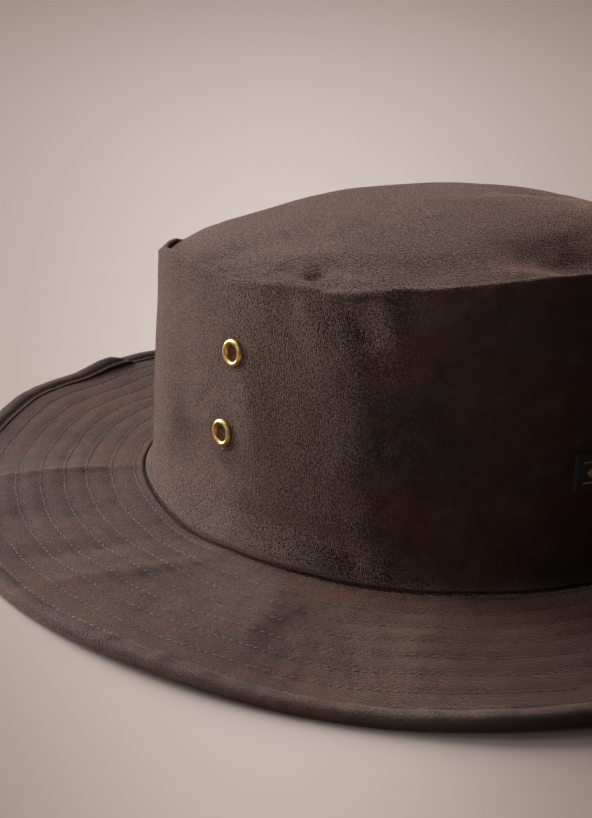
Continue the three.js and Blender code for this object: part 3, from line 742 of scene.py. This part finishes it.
def make_mesh(name: str, points: Array, faces: list, material: Material,
              corner_flat: Array | None = None, wear: Array | None = None) -> Object:
    """A smooth mesh object from places in mm.

    Args:
        name: The piece's name.
        points: The vertices, in mm.
        faces: Lists of vertex numbers.
        material: Its finish.
        corner_flat: Places on the flat cloth in mm, one for each corner of each face in turn.
        wear: The wear and the painted light and shade of each vertex, from -1 to 1.

    Returns:
        The object, linked to the scene.
    """
    mesh = bpy.data.meshes.new(name)
    mesh.from_pydata((points * MM).tolist(), [], faces)
    mesh.polygons.foreach_set("use_smooth", np.ones(len(mesh.polygons), bool))
    if corner_flat is not None:
        layer = mesh.uv_layers.new(name=WEAVE_MAP)
        layer.data.foreach_set("uv", corner_flat.astype(np.float32).ravel())
    if wear is not None:
        mesh.attributes.new(WEAR_AND_SHADE_LAYER, "FLOAT", "POINT").data.foreach_set("value", wear.astype(np.float32))
    mesh.validate()
    mesh.update()
    mesh.materials.append(material)
    return linked(name, mesh)


def turns(stations: int) -> Array:
    """The turn of each station round the hat, as a column."""
    return (np.arange(stations) * 360 / stations)[:, None]


def ring_corners(stations: int, count: int, spans: int) -> tuple[Array, Array]:
    """The station and the point of each corner of the faces round a ring, counting on past the last."""
    grids = np.meshgrid(np.arange(stations), np.arange(count), indexing="ij")
    return tuple(grid[:, :spans].reshape(-1, 1) + step for grid, step in zip(grids, np.transpose(QUAD)))


@dataclass(frozen=True)
class Section:
    """A piece's section at every station, gathered part by part, with the wear and the painted light and
    shade of each point.
    """

    places: list[Array] = field(default_factory=list)
    wears: list[Array] = field(default_factory=list)

    def add(self, places: Array, wear: float | Array) -> None:
        """Adds the next points, which run out over the top and back under."""
        self.places.append(places)
        self.wears.append(np.broadcast_to(wear, places.shape[:2]))

    def shell(self, name: str, material: Material, wrap: Wrap = Wrap.LOOP,
              run: float | None = None) -> Object:
        """A closed surface round the hat.

        Args:
            name: The piece's name.
            material: Its finish.
            wrap: Whether the section closes on itself or ends on the middle line.
            run: How far the cloth runs along the hat for one degree, in mm, where its threads go round. They
                lie straight across the hat without it.

        Returns:
            The object.
        """
        places, wear = np.concatenate(self.places, 1), np.concatenate(self.wears, 1)
        flat, flat_turn = places[..., :2], 0.0
        if run is not None:
            steps = np.diff(places[:1], axis=1, prepend=places[:1, :1])
            across = np.cumsum(np.linalg.norm(steps, axis=-1), 1)
            flat, flat_turn = np.stack(np.broadcast_arrays(turns(len(places)) * run, across), -1), 360 * run
        stations, count = places.shape[:2]
        station, index = ring_corners(stations, count, count if wrap is Wrap.LOOP else count - 1)
        past = np.where(station >= stations, flat_turn, 0)[..., None] * np.array((1, 0))
        station, index = station % stations, index % count
        corner_flat, numbers = flat[station, index] + past, station * count + index
        points, wear = places.reshape(-1, 3), wear.ravel()
        if wrap is Wrap.LOOP:
            return make_mesh(name, points, numbers.tolist(), material, corner_flat, wear)
        first = np.arange(stations) * count
        last = first + count - 1
        numbers[np.isin(numbers, first)] = 0
        numbers[np.isin(numbers, last)] = count - 1
        kept = numbers != np.roll(numbers, 1, 1)
        used = np.ones(stations * count, bool)
        used[first[1:]] = used[last[1:]] = False
        numbers = (np.cumsum(used) - 1)[numbers]
        faces = [face[there].tolist() for face, there in zip(numbers, kept)]
        return make_mesh(name, points[used], faces, material, corner_flat[kept], wear[used])


def dressed(piece: Object, slot: str, *nodes: str) -> None:
    """Lets a piece ride on the hat, hides the imported nodes that it stands for, and reports it."""
    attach(piece, "root")
    if nodes:
        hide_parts(*nodes)
    log.info("%s: %d faces", piece.name, len(piece.data.polygons))


@dataclass(frozen=True)
class CrownWall:
    """The crown's side: one strip of cloth with a turned rim, a hemmed foot and four eyelet holes."""

    form: HatForm
    stations: int = 540
    hole_radius: float = 3.6
    hole_sides: int = 32
    drill_reach: float = 6.0
    edge_stitch_height: float = 2.3
    lip: float = 0.9  # mm: how far the foot's lower edge is rounded
    rim_round: float = 1.5

    def section(self, turn: Array) -> Section:
        """The strip's section: up the inner face, over the rim and down the outer face.

        Args:
            turn: One turn for each station, as a column.

        Returns:
            The section.
        """
        form, section = self.form, Section()
        tall = form.wall_height(turn)
        base, depth, hem = 1 - self.rim_round / tall, form.rim_depth / tall, form.foot_hem / tall
        under = hem * np.linspace(0, 1, 5)[None]
        section.add(form.crown_point(turn, under, form.wall_base(turn, under) - form.foot_thickness), 0.0)
        inner = (1 - depth) - ((1 - depth) - hem) * np.linspace(0.99, 0.01, 42)[None]
        section.add(form.crown_point(turn, inner, form.wall_out(turn, inner) - form.wall_cloth), 0.0)
        rim = form.wall_base(turn, np.ones(turn.shape)) + form.wall_relief(turn, np.full(turn.shape, 0.985))
        down = base - (base - (1 - depth)) * np.linspace(1, 0, 5)[None]
        section.add(form.crown_point(turn, down, rim - form.rim_thickness), 0.1)
        lumps = uneven(form.crown_point(turn, np.ones(turn.shape), rim), (0.28, 6, 41), (0.2, 17, 42))
        half, bend = form.rim_thickness / 2, np.radians(np.array((160, 136, 114, 94, 74, 54, 34, 14)))[None]
        share = base + (self.rim_round + lumps) / tall * np.sin(bend)
        place = form.crown_point(turn, share, rim - half + half * np.cos(bend))
        # The rim's top is lighter, partly rubbed and partly a painted highlight.
        section.add(place, 0.1 + 0.9 * np.sin(bend) ** 4)
        outer = np.concatenate((
            np.linspace(0.985, 0.91, 9), np.linspace(0.9, 0.1, 50),
            np.array((7.8, 6.6, 5.5, 4.5, 3.7, 3.1, 2.6, 2.3, 2.0, 1.5, 0.9, 0.4, 0)) / 88,
        ))[None]
        lip = self.lip * (1 - np.sqrt(1 - (1 - np.clip(outer * tall / self.lip, 0, 1)) ** 2))
        doubled = 0.03 + 0.36 * band(turn, 122, 22) + 0.2 * band(turn, 250, 50)
        line = band(outer * tall, self.edge_stitch_height, 0.45) * doubled
        relief = form.wall_relief(turn, outer)
        # Crests lighter and creases darker, partly wear and partly painted highlight and shade; the
        # edge-stitch groove is painted dark as its shadow line; the foot's rounded lip and the cloth just
        # under the rim are lighter.
        wear = np.clip(relief / 1.4, -1.2, 1.0) * 0.9 - line * 1.5
        wear = wear + 0.45 * smooth(0.05, 0, outer) + 0.15 * smooth(0.968, 0.985, outer)
        section.add(form.crown_point(turn, outer, form.wall_base(turn, outer) + relief - lip - line), wear)
        return section

    def drill(self, piece: Object) -> None:
        """Cuts the eyelet holes through the wall."""
        count, points, faces = self.hole_sides, [], []
        for _, turn, height in self.form.eyelets:
            for side in (turn, 360 - turn):
                matrix, first = self.form.eyelet_frame(side, height), len(points)
                for deep in (-self.drill_reach, self.drill_reach):
                    for angle in (math.tau * k / count for k in range(count)):
                        x, z = math.cos(angle) * self.hole_radius, math.sin(angle) * self.hole_radius
                        points.append(tuple((matrix @ np.array((x, deep, z, 1)))[:3] * MM))
                near, far = ([first + end + k for k in range(count)] for end in (0, count))
                faces += [[near[k - 1], near[k], far[k], far[k - 1]] for k in (*range(1, count), 0)]
                faces += [near[::-1], far]
        mesh = bpy.data.meshes.new("eyelet_drill")
        mesh.from_pydata(points, [], faces)
        mesh.update()
        cutter = linked("eyelet_drill", mesh)
        cut = piece.modifiers.new("eyelet_holes", "BOOLEAN")
        cut.operation, cut.solver, cut.object = "DIFFERENCE", "EXACT", cutter
        bpy.context.view_layer.update()
        ready = bpy.data.meshes.new_from_object(piece.evaluated_get(bpy.context.evaluated_depsgraph_get()))
        piece.modifiers.clear()
        piece.data = ready
        bpy.data.objects.remove(cutter)

    def make(self, material: Material) -> None:
        """Builds the wall."""
        section = self.section(turns(self.stations))
        piece = section.shell("crown_wall_cloth", material, run=self.form.wall_run)
        self.drill(piece)
        dressed(piece, "crown_cloth", "crown_wall")


@dataclass(frozen=True)
class CrownTip:
    """The crown's top: a flat oval of cloth sewn in under the rim, domed and puckered along its seam."""

    form: HatForm
    stations: int = 540

    def make(self, material: Material) -> None:
        """Builds the tip."""
        turn, section = turns(self.stations), Section()
        upper = (np.linspace(0, 0.6, 34), np.linspace(0.615, 0.84, 22), np.linspace(0.848, 1, 24))
        lower = (np.linspace(1, 0.85, 9), np.linspace(0.8, 0, 22))
        for shares, drop, wear_shade_amount in ((upper, 0.0, 0.8), (lower, self.form.tip_cloth, 0.2)):
            out = np.concatenate(shares)[None]
            relief = self.form.tip_relief(turn, out)
            place = self.form.tip_point(turn, out)
            place[..., 2] += relief - drop
            # Crests lighter and creases darker, partly wear and partly painted highlight and shade; less so
            # underneath.
            section.add(place, np.clip(relief, -1, 1) * wear_shade_amount)
        dressed(section.shell("crown_tip_cloth", material, Wrap.POLES), "crown_cloth", "crown_tip")


@dataclass(frozen=True)
class Brim:
    """The quilted brim: two layers of cloth held flat by seven rows of stitches."""

    form: HatForm
    stations: int = 720

    def rows(self, fine: bool) -> Array:
        """Distances out from the crown's foot, set closer at each row of stitches."""
        stitched = self.form.stitch_rows
        edge = self.form.brim_width - self.form.binding_cloth - self.form.gap
        near = (-1.7, -1.0, -0.45, 0, 0.45, 1.0, 1.7) if fine else (-1.5, 0, 1.5)
        between = (-1.2, 0, 1.2) if fine else (0,)
        marks = {-self.form.brim_tuck, -1.5, 0.0, 0.5, 1.0, 1.6, edge, 62.7, 66.0}
        marks |= {row + step for row in stitched for step in near}
        marks |= {(low + high) / 2 + step for low, high in zip(stitched, stitched[1:]) for step in between}
        return np.array(sorted(marks))

    def make(self, material: Material) -> None:
        """Builds the brim."""
        form, turn, section = self.form, turns(self.stations), Section()
        above, below = self.rows(True)[None], self.rows(False)[None, ::-1]
        under = form.brim_relief(turn, below)
        under = under - 2 * form.quilt_depth * 0.8 * (form.quilt(below) - 0.75) * form.sewn(below)
        section.add(form.brim_point(turn, below, form.brim_base(turn, below) + under - form.brim_cloth), 0.0)
        relief = form.brim_relief(turn, above)
        channel = (form.quilt(above) - 0.8) * form.sewn(above)
        # Crests lighter and creases darker, partly wear and partly painted highlight and shade; darker along
        # each row of stitches, partly needle holes and partly painted shade in the channel.
        wear = np.clip((relief - form.quilt_depth * channel) / 1.3 + 0.5 * channel, -1, 1)
        groove = 1.1 * band(above, 0.15, 0.55)
        place = form.brim_point(turn, above, form.brim_base(turn, above) + relief - groove)
        # A painted shadow line where the brim runs under the crown's foot.
        section.add(place, wear - 1.5 * band(above, 0.2, 0.7))
        dressed(section.shell("brim_cloth", material), "brim_cloth", "brim")


@dataclass(frozen=True)
class BrimBinding:
    """The bias tape folded over the brim's edge, whose ends lap at the centre back."""

    form: HatForm
    stations: int = 900
    lap_rise: float = 2.1
    stitch_in: float = 1.7  # mm from the tape's inner edge to its row of stitches

    def lap(self, turn: Array, distance: Array) -> Array:
        """How far the lapped end stands above the rest: a slanting step that dies away towards the right."""
        inwards = np.clip((self.form.brim_width - distance) / self.form.binding_width, 0, 1)
        end = 177.6 + 2.8 * inwards
        step = smooth(end + 0.7, end - 0.5, turn) * smooth(166, 177, turn)
        return self.lap_rise * step * (1 - 0.45 * inwards)

    def top_height(self, turn: Array, distance: Array) -> Array:
        """Height of the tape's upper face above the floor, in mm."""
        form = self.form
        turn, distance = np.broadcast_arrays(turn, distance)
        inner = form.brim_width - form.binding_width
        place = form.brim_point(turn, distance, np.zeros(turn.shape))
        along = np.stack((turn * 2.6, distance * 0.5, np.zeros(turn.shape)), -1)
        relief = uneven(along, (0.2, 4.6, 51)) + uneven(place, (0.12, 9, 52))
        relief = relief - 0.34 * band(distance, inner + self.stitch_in, 0.8)
        lift = 0.4 + (form.binding_cloth + form.gap - 0.4) * smooth(inner, inner + 5.5, distance)
        body = relief * smooth(inner - 0.1, inner + 1.2, distance)
        return form.brim_base(turn, distance) + lift + self.lap(turn, distance) + body

    def make(self, material: Material) -> None:
        """Builds the tape."""
        form, turn, section = self.form, turns(self.stations), Section()
        inner = form.brim_width - form.binding_width
        fold, bend_at = form.brim_width - form.binding_cloth, form.brim_width - 2 * form.binding_cloth
        face = form.brim_base(turn, np.full(turn.shape, inner))
        underside = face - form.brim_cloth - form.gap
        middle, below = face - form.brim_cloth / 2, underside - form.binding_cloth
        edge = self.top_height(turn, np.full(turn.shape, inner + 0.5))
        along = np.concatenate((np.array((0.5, 0.9, 1.3, 1.7, 2.1, 2.5, 3.0)) + inner,
                                np.linspace(inner + 3.6, bend_at, 7)))[None]
        upper = self.top_height(turn, along)
        wear_shade_amount = uneven(form.brim_point(turn, along, upper), (0.25, 6, 53))
        # Darker along the row of stitches, partly needle holes and partly painted shade in the sunk row.
        wear_shade_amount = wear_shade_amount - 0.8 * band(along, inner + self.stitch_in, 0.7) + 0.1
        bend = np.radians(np.array((72, 50, 28, 8, -12, -34, -56, -76)))[None]
        high = self.top_height(turn, np.full(turn.shape, bend_at))
        reach = np.where(bend > 0, high - middle, middle - below) * np.sin(bend)
        # The tape's inner edge is painted dark as the shadow under it, and its underside is painted darker
        # as shade.
        for distance, height, wear in (
            (inner + 0.25, face - 0.35, -1.0), (inner, face - 0.2, -0.9), (inner - 0.02, edge - 0.22, -0.2),
            (inner + 0.2, edge - 0.06, 0.4), (along, upper, wear_shade_amount),
            (bend_at + (form.brim_width - bend_at) * np.cos(bend), middle + reach, 0.15 * np.sin(bend)),
            (np.linspace(bend_at, inner + 0.2, 10)[None], below, 0.0), (inner, below + 0.35, 0.0),
            (inner, underside, -0.5), (fold - form.gap, underside, -0.5), (fold, middle, -0.5),
            (fold - form.gap, face + 0.05, -0.5),
        ):
            section.add(form.brim_point(turn, distance, height), wear)
        run = 2 * math.pi * (form.head_width / 2 + form.head_length / 2 + 2 * form.brim_width) / 2 / 360
        dressed(section.shell("brim_binding_tape", material, run=run), "binding_cloth", "brim_binding")


@dataclass(frozen=True)
class StitchRun:
    """Rows of sewn stitches, each a short thread that dips into the cloth at both ends."""

    length: float = 2.05
    pitch: float = 2.75
    thickness: float = 0.4
    rise: float = 0.17
    sides: int = 6

    def places(self, line: Array, normal: Array, seed: int) -> list[Array]:
        """Where each stitch lies on a closed line.

        Args:
            line: Places along the line, in mm.
            normal: The direction out of the cloth at each of them.
            seed: Which small errors of sewing.

        Returns:
            Middles, directions along, directions out, and lengths.
        """
        chance = np.random.default_rng(seed)
        steps = np.linalg.norm(np.diff(line, axis=0, append=line[:1]), axis=1)
        reached = np.concatenate(((0.0,), np.cumsum(steps)))
        count = round(reached[-1] / self.pitch)
        marks = (np.arange(count) + 0.5) * reached[-1] / count + chance.normal(0, 0.1, count)

        def at(marked: Array, values: Array) -> Array:
            """Values at marks along the line."""
            closed = np.concatenate((values, values[:1]))
            return np.stack([np.interp(marked % reached[-1], reached, closed[:, k]) for k in range(3)], -1)

        middle, out = at(marks, line), at(marks, normal)
        along = at(marks + 1.0, line) - at(marks - 1.0, line)
        along /= np.linalg.norm(along, axis=1, keepdims=True)
        side = np.cross(along, out)
        side /= np.linalg.norm(side, axis=1, keepdims=True)
        along = along + side * chance.normal(0, 0.05, (count, 1))
        middle = middle + side * chance.normal(0, 0.09, (count, 1))
        return [middle, along, np.cross(side, along), self.length * chance.normal(1, 0.07, (count, 1))]

    def mesh(self, name: str, runs: list[list[Array]], material: Material) -> Object:
        """All the stitches of some runs as one object."""
        middle, along, out, length = (np.concatenate([run[k] for run in runs]) for k in range(4))
        side = np.cross(along, out)
        steps = np.array((-1.0, -0.72, -0.25, 0.25, 0.72, 1.0))
        count, rings = len(middle), len(steps)
        points = np.zeros((count, rings, self.sides, 3))
        for ring, step in enumerate(steps):
            centre = middle + along * length / 2 * step + out * (self.rise * (1 - 1.7 * step**2) - 0.02)
            radius = self.thickness / 2 * math.sqrt(1 - 0.75 * step**2)
            for number in range(self.sides):
                angle = math.tau * number / self.sides
                away = side * math.cos(angle) + out * math.sin(angle)
                points[:, ring, number] = centre + radius * away
        one = [[(ring + up) * self.sides + (number + on) % self.sides for up, on in QUAD]
               for ring in range(rings - 1) for number in range(self.sides)]
        ends = [list(range(self.sides)), [(rings - 1) * self.sides + k for k in reversed(range(self.sides))]]
        first = (np.arange(count) * rings * self.sides)[:, None, None]
        faces = [face for part in (one, ends)
                 for face in (np.array(part) + first).reshape(-1, len(part[0])).tolist()]
        return make_mesh(name, points.reshape(-1, 3), faces, material)


@dataclass(frozen=True)
class BrimStitching:
    """The rows that quilt the brim, above and below, and the row that holds the tape."""

    form: HatForm
    binding: BrimBinding
    run: StitchRun = StitchRun()

    def line(self, distance: float, height: Callable, seed: int, side: float) -> list[Array]:
        """One row at a distance out, on a surface given by its height."""
        turn = np.arange(0, 360, 0.1)
        wander = 0.35 * cloth_noise(np.stack((turn * 1.5, 0 * turn, 0 * turn + distance), -1), 22, seed)
        at = distance + wander
        here, beyond = (self.form.brim_point(turn, out, height(turn, out)) for out in (at, at + 0.8))
        normal = np.cross(np.roll(here, -1, 0) - np.roll(here, 1, 0), beyond - here)
        normal /= np.linalg.norm(normal, axis=1, keepdims=True)
        return self.run.places(here, normal * np.sign(normal[:, 2:3]) * side, seed)

    def make(self, material: Material) -> None:
        """Builds the three stitched pieces."""
        form = self.form

        def under(turn: Array, distance: Array) -> Array:
            """Height of the brim's underside on a row."""
            lift = form.brim_relief(turn, distance) + 1.2 * form.quilt_depth
            return form.brim_base(turn, distance) - form.brim_cloth + np.minimum(lift, 0.5) - 0.05

        tape_row = form.brim_width - form.binding_width + self.binding.stitch_in
        for name, slot, rows, height, seed, side in (
            ("brim_stitching_upper", "brim_cloth", form.stitch_rows, form.brim_height, 100, 1.0),
            ("brim_stitching_under", "brim_cloth", form.stitch_rows, under, 120, -1.0),
            ("binding_stitching", "binding_cloth", (tape_row,), self.binding.top_height, 140, 1.0),
        ):
            runs = [self.line(row, height, seed + k, side) for k, row in enumerate(rows)]
            dressed(self.run.mesh(name, runs, material), slot)


@dataclass(frozen=True)
class Eyelet:
    """A brass eyelet: a rolled flange on the cloth, a barrel through it and a curled washer behind."""

    form: HatForm
    outer: float = 4.6
    bore: float = 2.7
    metal: float = 0.6
    roll: float = 1.4
    back_roll: float = 0.85
    segments: int = 72

    def profile(self) -> Array:
        """Radius and height of the closed profile, from the barrel's outside over the front to the back."""
        front, back = self.form.gap, -(self.form.wall_cloth + 0.5)
        barrel, bore = self.bore + self.metal, self.bore + 0.02
        rolls = []
        for outer, steps in ((self.outer, 16), (self.outer - self.metal, 12)):
            angle = np.pi * np.arange(steps + 1) / steps
            radius = (outer + self.bore) / 2 + (outer - self.bore) / 2 * np.cos(angle)
            rolls.append((radius, np.maximum(np.sin(angle), 0)))
        over = np.stack((rolls[0][0], front + self.roll * rolls[0][1] ** 0.85), 1)
        behind = np.stack((rolls[1][0], back - self.back_roll * rolls[1][1]), 1)[::-1]
        inside = ((bore, front - 0.5), (bore, back + 0.5))
        return np.concatenate((((barrel, front),), over, inside, behind, ((barrel, back),)))

    def make(self, name: str, node: str, turn: float, height: float, material: Material) -> None:
        """Builds one eyelet at its place in the wall."""
        profile = self.profile()
        count = len(profile)
        angle = np.arange(self.segments)[:, None] * math.tau / self.segments
        pressed = 1 + 0.006 * np.cos(2 * angle + height) + 0.004 * np.cos(5 * angle + turn)
        radius, up = profile[None, :, 0] * pressed, profile[None, :, 1] + 0.03 * np.cos(3 * angle + height)
        local = np.stack((radius * np.sin(angle), up, radius * np.cos(angle), np.ones(radius.shape)), -1)
        places = (local @ self.form.eyelet_frame(turn, height).T)[..., :3]
        station, index = ring_corners(self.segments, count, count)
        faces = (station % self.segments * count + index % count).tolist()
        dressed(make_mesh(name, places.reshape(-1, 3), faces, material), "eyelet_brass", node)


@dataclass(frozen=True)
class Label:
    """A small woven label sewn flat to the front of the crown, with a plain row of lozenges on it."""

    form: HatForm
    width: float = 47
    height: float = 12.5
    cloth: float = 1
    middle: float = 38.2
    motif_pitch: float = 3.6
    columns: int = 96
    rows: int = 28

    def place(self, x: Array, z: Array, off: Array) -> Array:
        """A point of the label bent to the wall: across, up, and off the cloth, in mm."""
        form = self.form
        share = (self.middle + z) / float(form.wall_height(np.array(0.0)))
        across = form.head_width / 2 - form.rim_inset_side * share
        turn = np.degrees(np.arcsin(-x / across)) % 360
        return form.crown_point(turn, share, form.wall_out(turn, share) + off)

    def make(self, material: Material, gold: Material) -> None:
        """Builds the label and its motif."""
        sizes = ((self.width, self.columns), (self.height, self.rows))
        x, z = np.meshgrid(*(np.linspace(-size / 2, size / 2, count) for size, count in sizes),
                           indexing="ij")
        edge = np.minimum(self.width / 2 - np.abs(x), self.height / 2 - np.abs(z))
        hem = 0.14 * band(edge, 0.7, 0.4) - 0.12 * band(edge, 1.5, 0.3)
        hem = hem - 0.35 * np.clip(1 - edge / 0.4, 0, 1) ** 2
        front = self.place(x, z, self.form.gap + self.cloth + hem)
        back = self.place(x, z, np.full(x.shape, self.form.gap))
        number = np.arange(x.size).reshape(x.shape)
        last_x, last_z = self.columns - 1, self.rows - 1
        quads = np.stack([number[up:last_x + up, on:last_z + on] for up, on in QUAD], -1).reshape(-1, 4)
        ring = np.concatenate((number[:-1, 0], number[-1, :-1], number[:0:-1, -1], number[0, :0:-1]))
        after = np.roll(ring, -1)
        sides = np.stack((ring, ring + x.size, after + x.size, after), 1)
        faces = np.concatenate((quads, quads[:, ::-1] + x.size, sides))
        points = np.concatenate((front.reshape(-1, 3), back.reshape(-1, 3)))
        flat = np.tile(np.stack((x.ravel(), z.ravel()), -1), (2, 1))[faces.ravel()]
        dressed(make_mesh("label_patch", points, faces.tolist(), material, flat), "label_cloth", "label")
        dressed(self.motif(gold), "label_cloth")

    def motif(self, gold: Material) -> Object:
        """A row of small lozenges between two lines, each lozenge of slanted satin threads."""
        threads = []
        count = int((self.width - 6) / self.motif_pitch)
        for number in range(count):
            centre = (number - (count - 1) / 2) * self.motif_pitch
            for step in range(-3, 4):
                x, half = centre + step * 0.4, 1.7 * (1 - abs(step) / 4)
                threads.append((x - 0.12, -half, x + 0.12, half, 0.42))
        for level in (-3.4, 3.4):
            for x in np.arange(-self.width / 2 + 2.6, self.width / 2 - 2.6, 1.3):
                threads.append((x, level, x + 1.15, level + 0.06, 0.4))
        points, faces = [], []
        for x0, z0, x1, z1, thick in threads:
            first, length = len(points), math.hypot(x1 - x0, z1 - z0)
            side_x, side_z = -(z1 - z0) / length, (x1 - x0) / length
            for part, size in ((0.0, 0.5), (0.25, 1.0), (0.75, 1.0), (1.0, 0.5)):
                for over, lift in ((-1.0, -0.05), (-0.6, 0.16), (0.6, 0.16), (1.0, -0.05)):
                    wide = over * thick / 2 * size
                    x, z = x0 + (x1 - x0) * part + side_x * wide, z0 + (z1 - z0) * part + side_z * wide
                    points.append((x, z, self.form.gap + self.cloth + lift * size + 0.05))
            faces += [[first + (ring + up) * 4 + (side + on) % 4 for up, on in QUAD]
                      for ring in range(3) for side in range(4)]
            faces += [[first + k for k in range(4)], [first + k for k in reversed(range(12, 16))]]
        return make_mesh("label_motif", self.place(*np.transpose(points)), faces, gold)


@dataclass(frozen=True)
class Studio:
    """A seamless floor, a large soft lamp to the left and behind, a weak fill, and the camera."""

    camera_place: tuple[float, float, float] = (-396.89, -385.12, 238.97)
    camera_right: tuple[float, float, float] = (0.74798, -0.66353, 0.01585)
    camera_up: tuple[float, float, float] = (0.22193, 0.27253, 0.9362)
    camera_forward: tuple[float, float, float] = (0.62552, 0.69674, -0.3511)
    lens: float = 72.32
    floor_radius: float = 6.0
    floor_drop: float = 0.15  # mm under the hat
    distant: tuple[tuple[str, float, float, float, float], ...] = (  # name, power, turn, rise and spread
        ("key", 6.8, 97.0, 18.0, 48.0), ("top", 0.6, 130.0, 60.0, 42.0),
    )
    card_place: tuple[float, float, float] = (-1.15, -0.25, 0.75)
    card_size: tuple[float, float] = (0.9, 0.6)
    card_power: float = 2.6
    card_target: tuple[float, float, float] = (0.0, 0.0, 0.04)

    def camera(self) -> None:
        """The camera at the photograph's viewing angle."""
        data = bpy.data.cameras.new("camera")
        data.lens, data.sensor_width, data.sensor_fit = self.lens, 36.0, "AUTO"
        data.clip_start, data.clip_end = 0.01, 60.0
        camera = linked("camera", data)
        back = [-value for value in self.camera_forward]
        turn = Matrix((self.camera_right, self.camera_up, back)).transposed()
        camera.matrix_world = Matrix.Translation(Vector(self.camera_place) * MM) @ turn.to_4x4()
        bpy.context.scene.camera = camera

    def floor(self, paper: Material) -> None:
        """A wide round floor."""
        angle = np.arange(96) * math.tau / 96
        ring = np.stack((np.cos(angle), np.sin(angle)), -1) * self.floor_radius / MM
        points = np.column_stack((ring, np.full(96, -self.floor_drop)))
        floor = make_mesh("floor", points, [list(range(96))], paper)

    def card(self) -> None:
        """A white card that only the metal and the cloth see."""
        data = bpy.data.lights.new("metal_card", "AREA")
        data.shape, data.size, data.size_y, data.energy = "RECTANGLE", *self.card_size, self.card_power
        lamp = linked("metal_card", data)
        lamp.location = self.card_place
        way = Vector(self.card_target) - Vector(self.card_place)
        lamp.rotation_euler = way.to_track_quat("-Z", "Y").to_euler()
        lamp.visible_camera = False

    def distant_lamp(self, name: str, power: float, turn: float, rise: float, spread: float) -> None:
        """A broad soft lamp that is far away. Turns run from +X towards +Y, in degrees."""
        data = bpy.data.lights.new(name, "SUN")
        data.energy, data.angle = power, math.radians(spread)
        turn, rise = math.radians(turn), math.radians(rise)
        way = Vector((math.cos(turn) * math.cos(rise), math.sin(turn) * math.cos(rise), math.sin(rise)))
        linked(name, data).rotation_euler = way.to_track_quat("Z", "Y").to_euler()

    def world(self) -> None:
        """Weak even light from all round, and a greige distance."""
        world = bpy.data.worlds.new("studio_air")
        bpy.context.scene.world = world
        world.use_nodes = True
        world.node_tree.nodes.clear()
        add = partial(add_node, world.node_tree)
        room = add("Background", {"Color": linear("#D6CCC6"), "Strength": 0.009})
        distance = add("Background", {"Color": linear("#B7A79E"), "Strength": 1.0})
        seen = add("LightPath", {}, "Is Camera Ray")
        add("OutputWorld", {"Surface": add("MixShader", {0: seen, 1: room, 2: distance})})

    def make(self) -> None:
        """Sets up the camera, the floor and the lights."""
        self.camera()
        self.floor(SweepPaper().build())
        for lamp in self.distant:
            self.distant_lamp(*lamp)
        self.card()
        self.world()
        bpy.context.scene.view_settings.view_transform = "Standard"


def main() -> None:
    """Builds the hat's pieces and the studio."""
    logging.basicConfig(level=logging.INFO, format="%(name)s: %(message)s")
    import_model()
    form = HatForm()
    # Each cotton's fourth colour is the pale one for rubbed crests and painted light, its fifth the dark one
    # for creases and painted shade; kept sets how much painted shade darkens the side of the hat away from
    # the key lamp.
    crown_cotton = WaxedCotton("waxed_cotton_crown", "#473836", "#6E4034", "#443F41", "#97857D", "#171313",
                               sheen=1.0, kept=0.42).build()
    brim_cotton = WaxedCotton("waxed_cotton_brim", "#44332E", "#653B2E", "#423633", "#8A7063", "#191311",
                              sheen=0.7, grain=0.3, kept=0.44).build()
    tape_cotton = WaxedCotton("waxed_cotton_tape", "#50403A", "#644338", "#4A413F", "#8A766C", "#1C1614",
                              ThreadRun.BIAS, sheen=0.9, grain=0.2, kept=0.75).build()
    thread = SewingThread("waxed_thread", "#84715F", "#4C3C33").build()
    brass = PolishedBrass().build()
    Studio().make()
    CrownWall(form).make(crown_cotton)
    CrownTip(form).make(crown_cotton)
    Brim(form).make(brim_cotton)
    binding = BrimBinding(form)
    binding.make(tape_cotton)
    BrimStitching(form, binding).make(thread)
    for level, turn, height in form.eyelets:
        for side, at in (("right", turn), ("left", 360 - turn)):
            Eyelet(form).make(f"eyelet_{side}_{level}_ring", f"eyelet_{side}_{level}", at, height, brass)
    gold = SewingThread("gold_thread", "#C9933F", "#7A5320").build()
    Label(form).make(DamaskLabel().build(), gold)


if __name__ == "__main__":
    main()
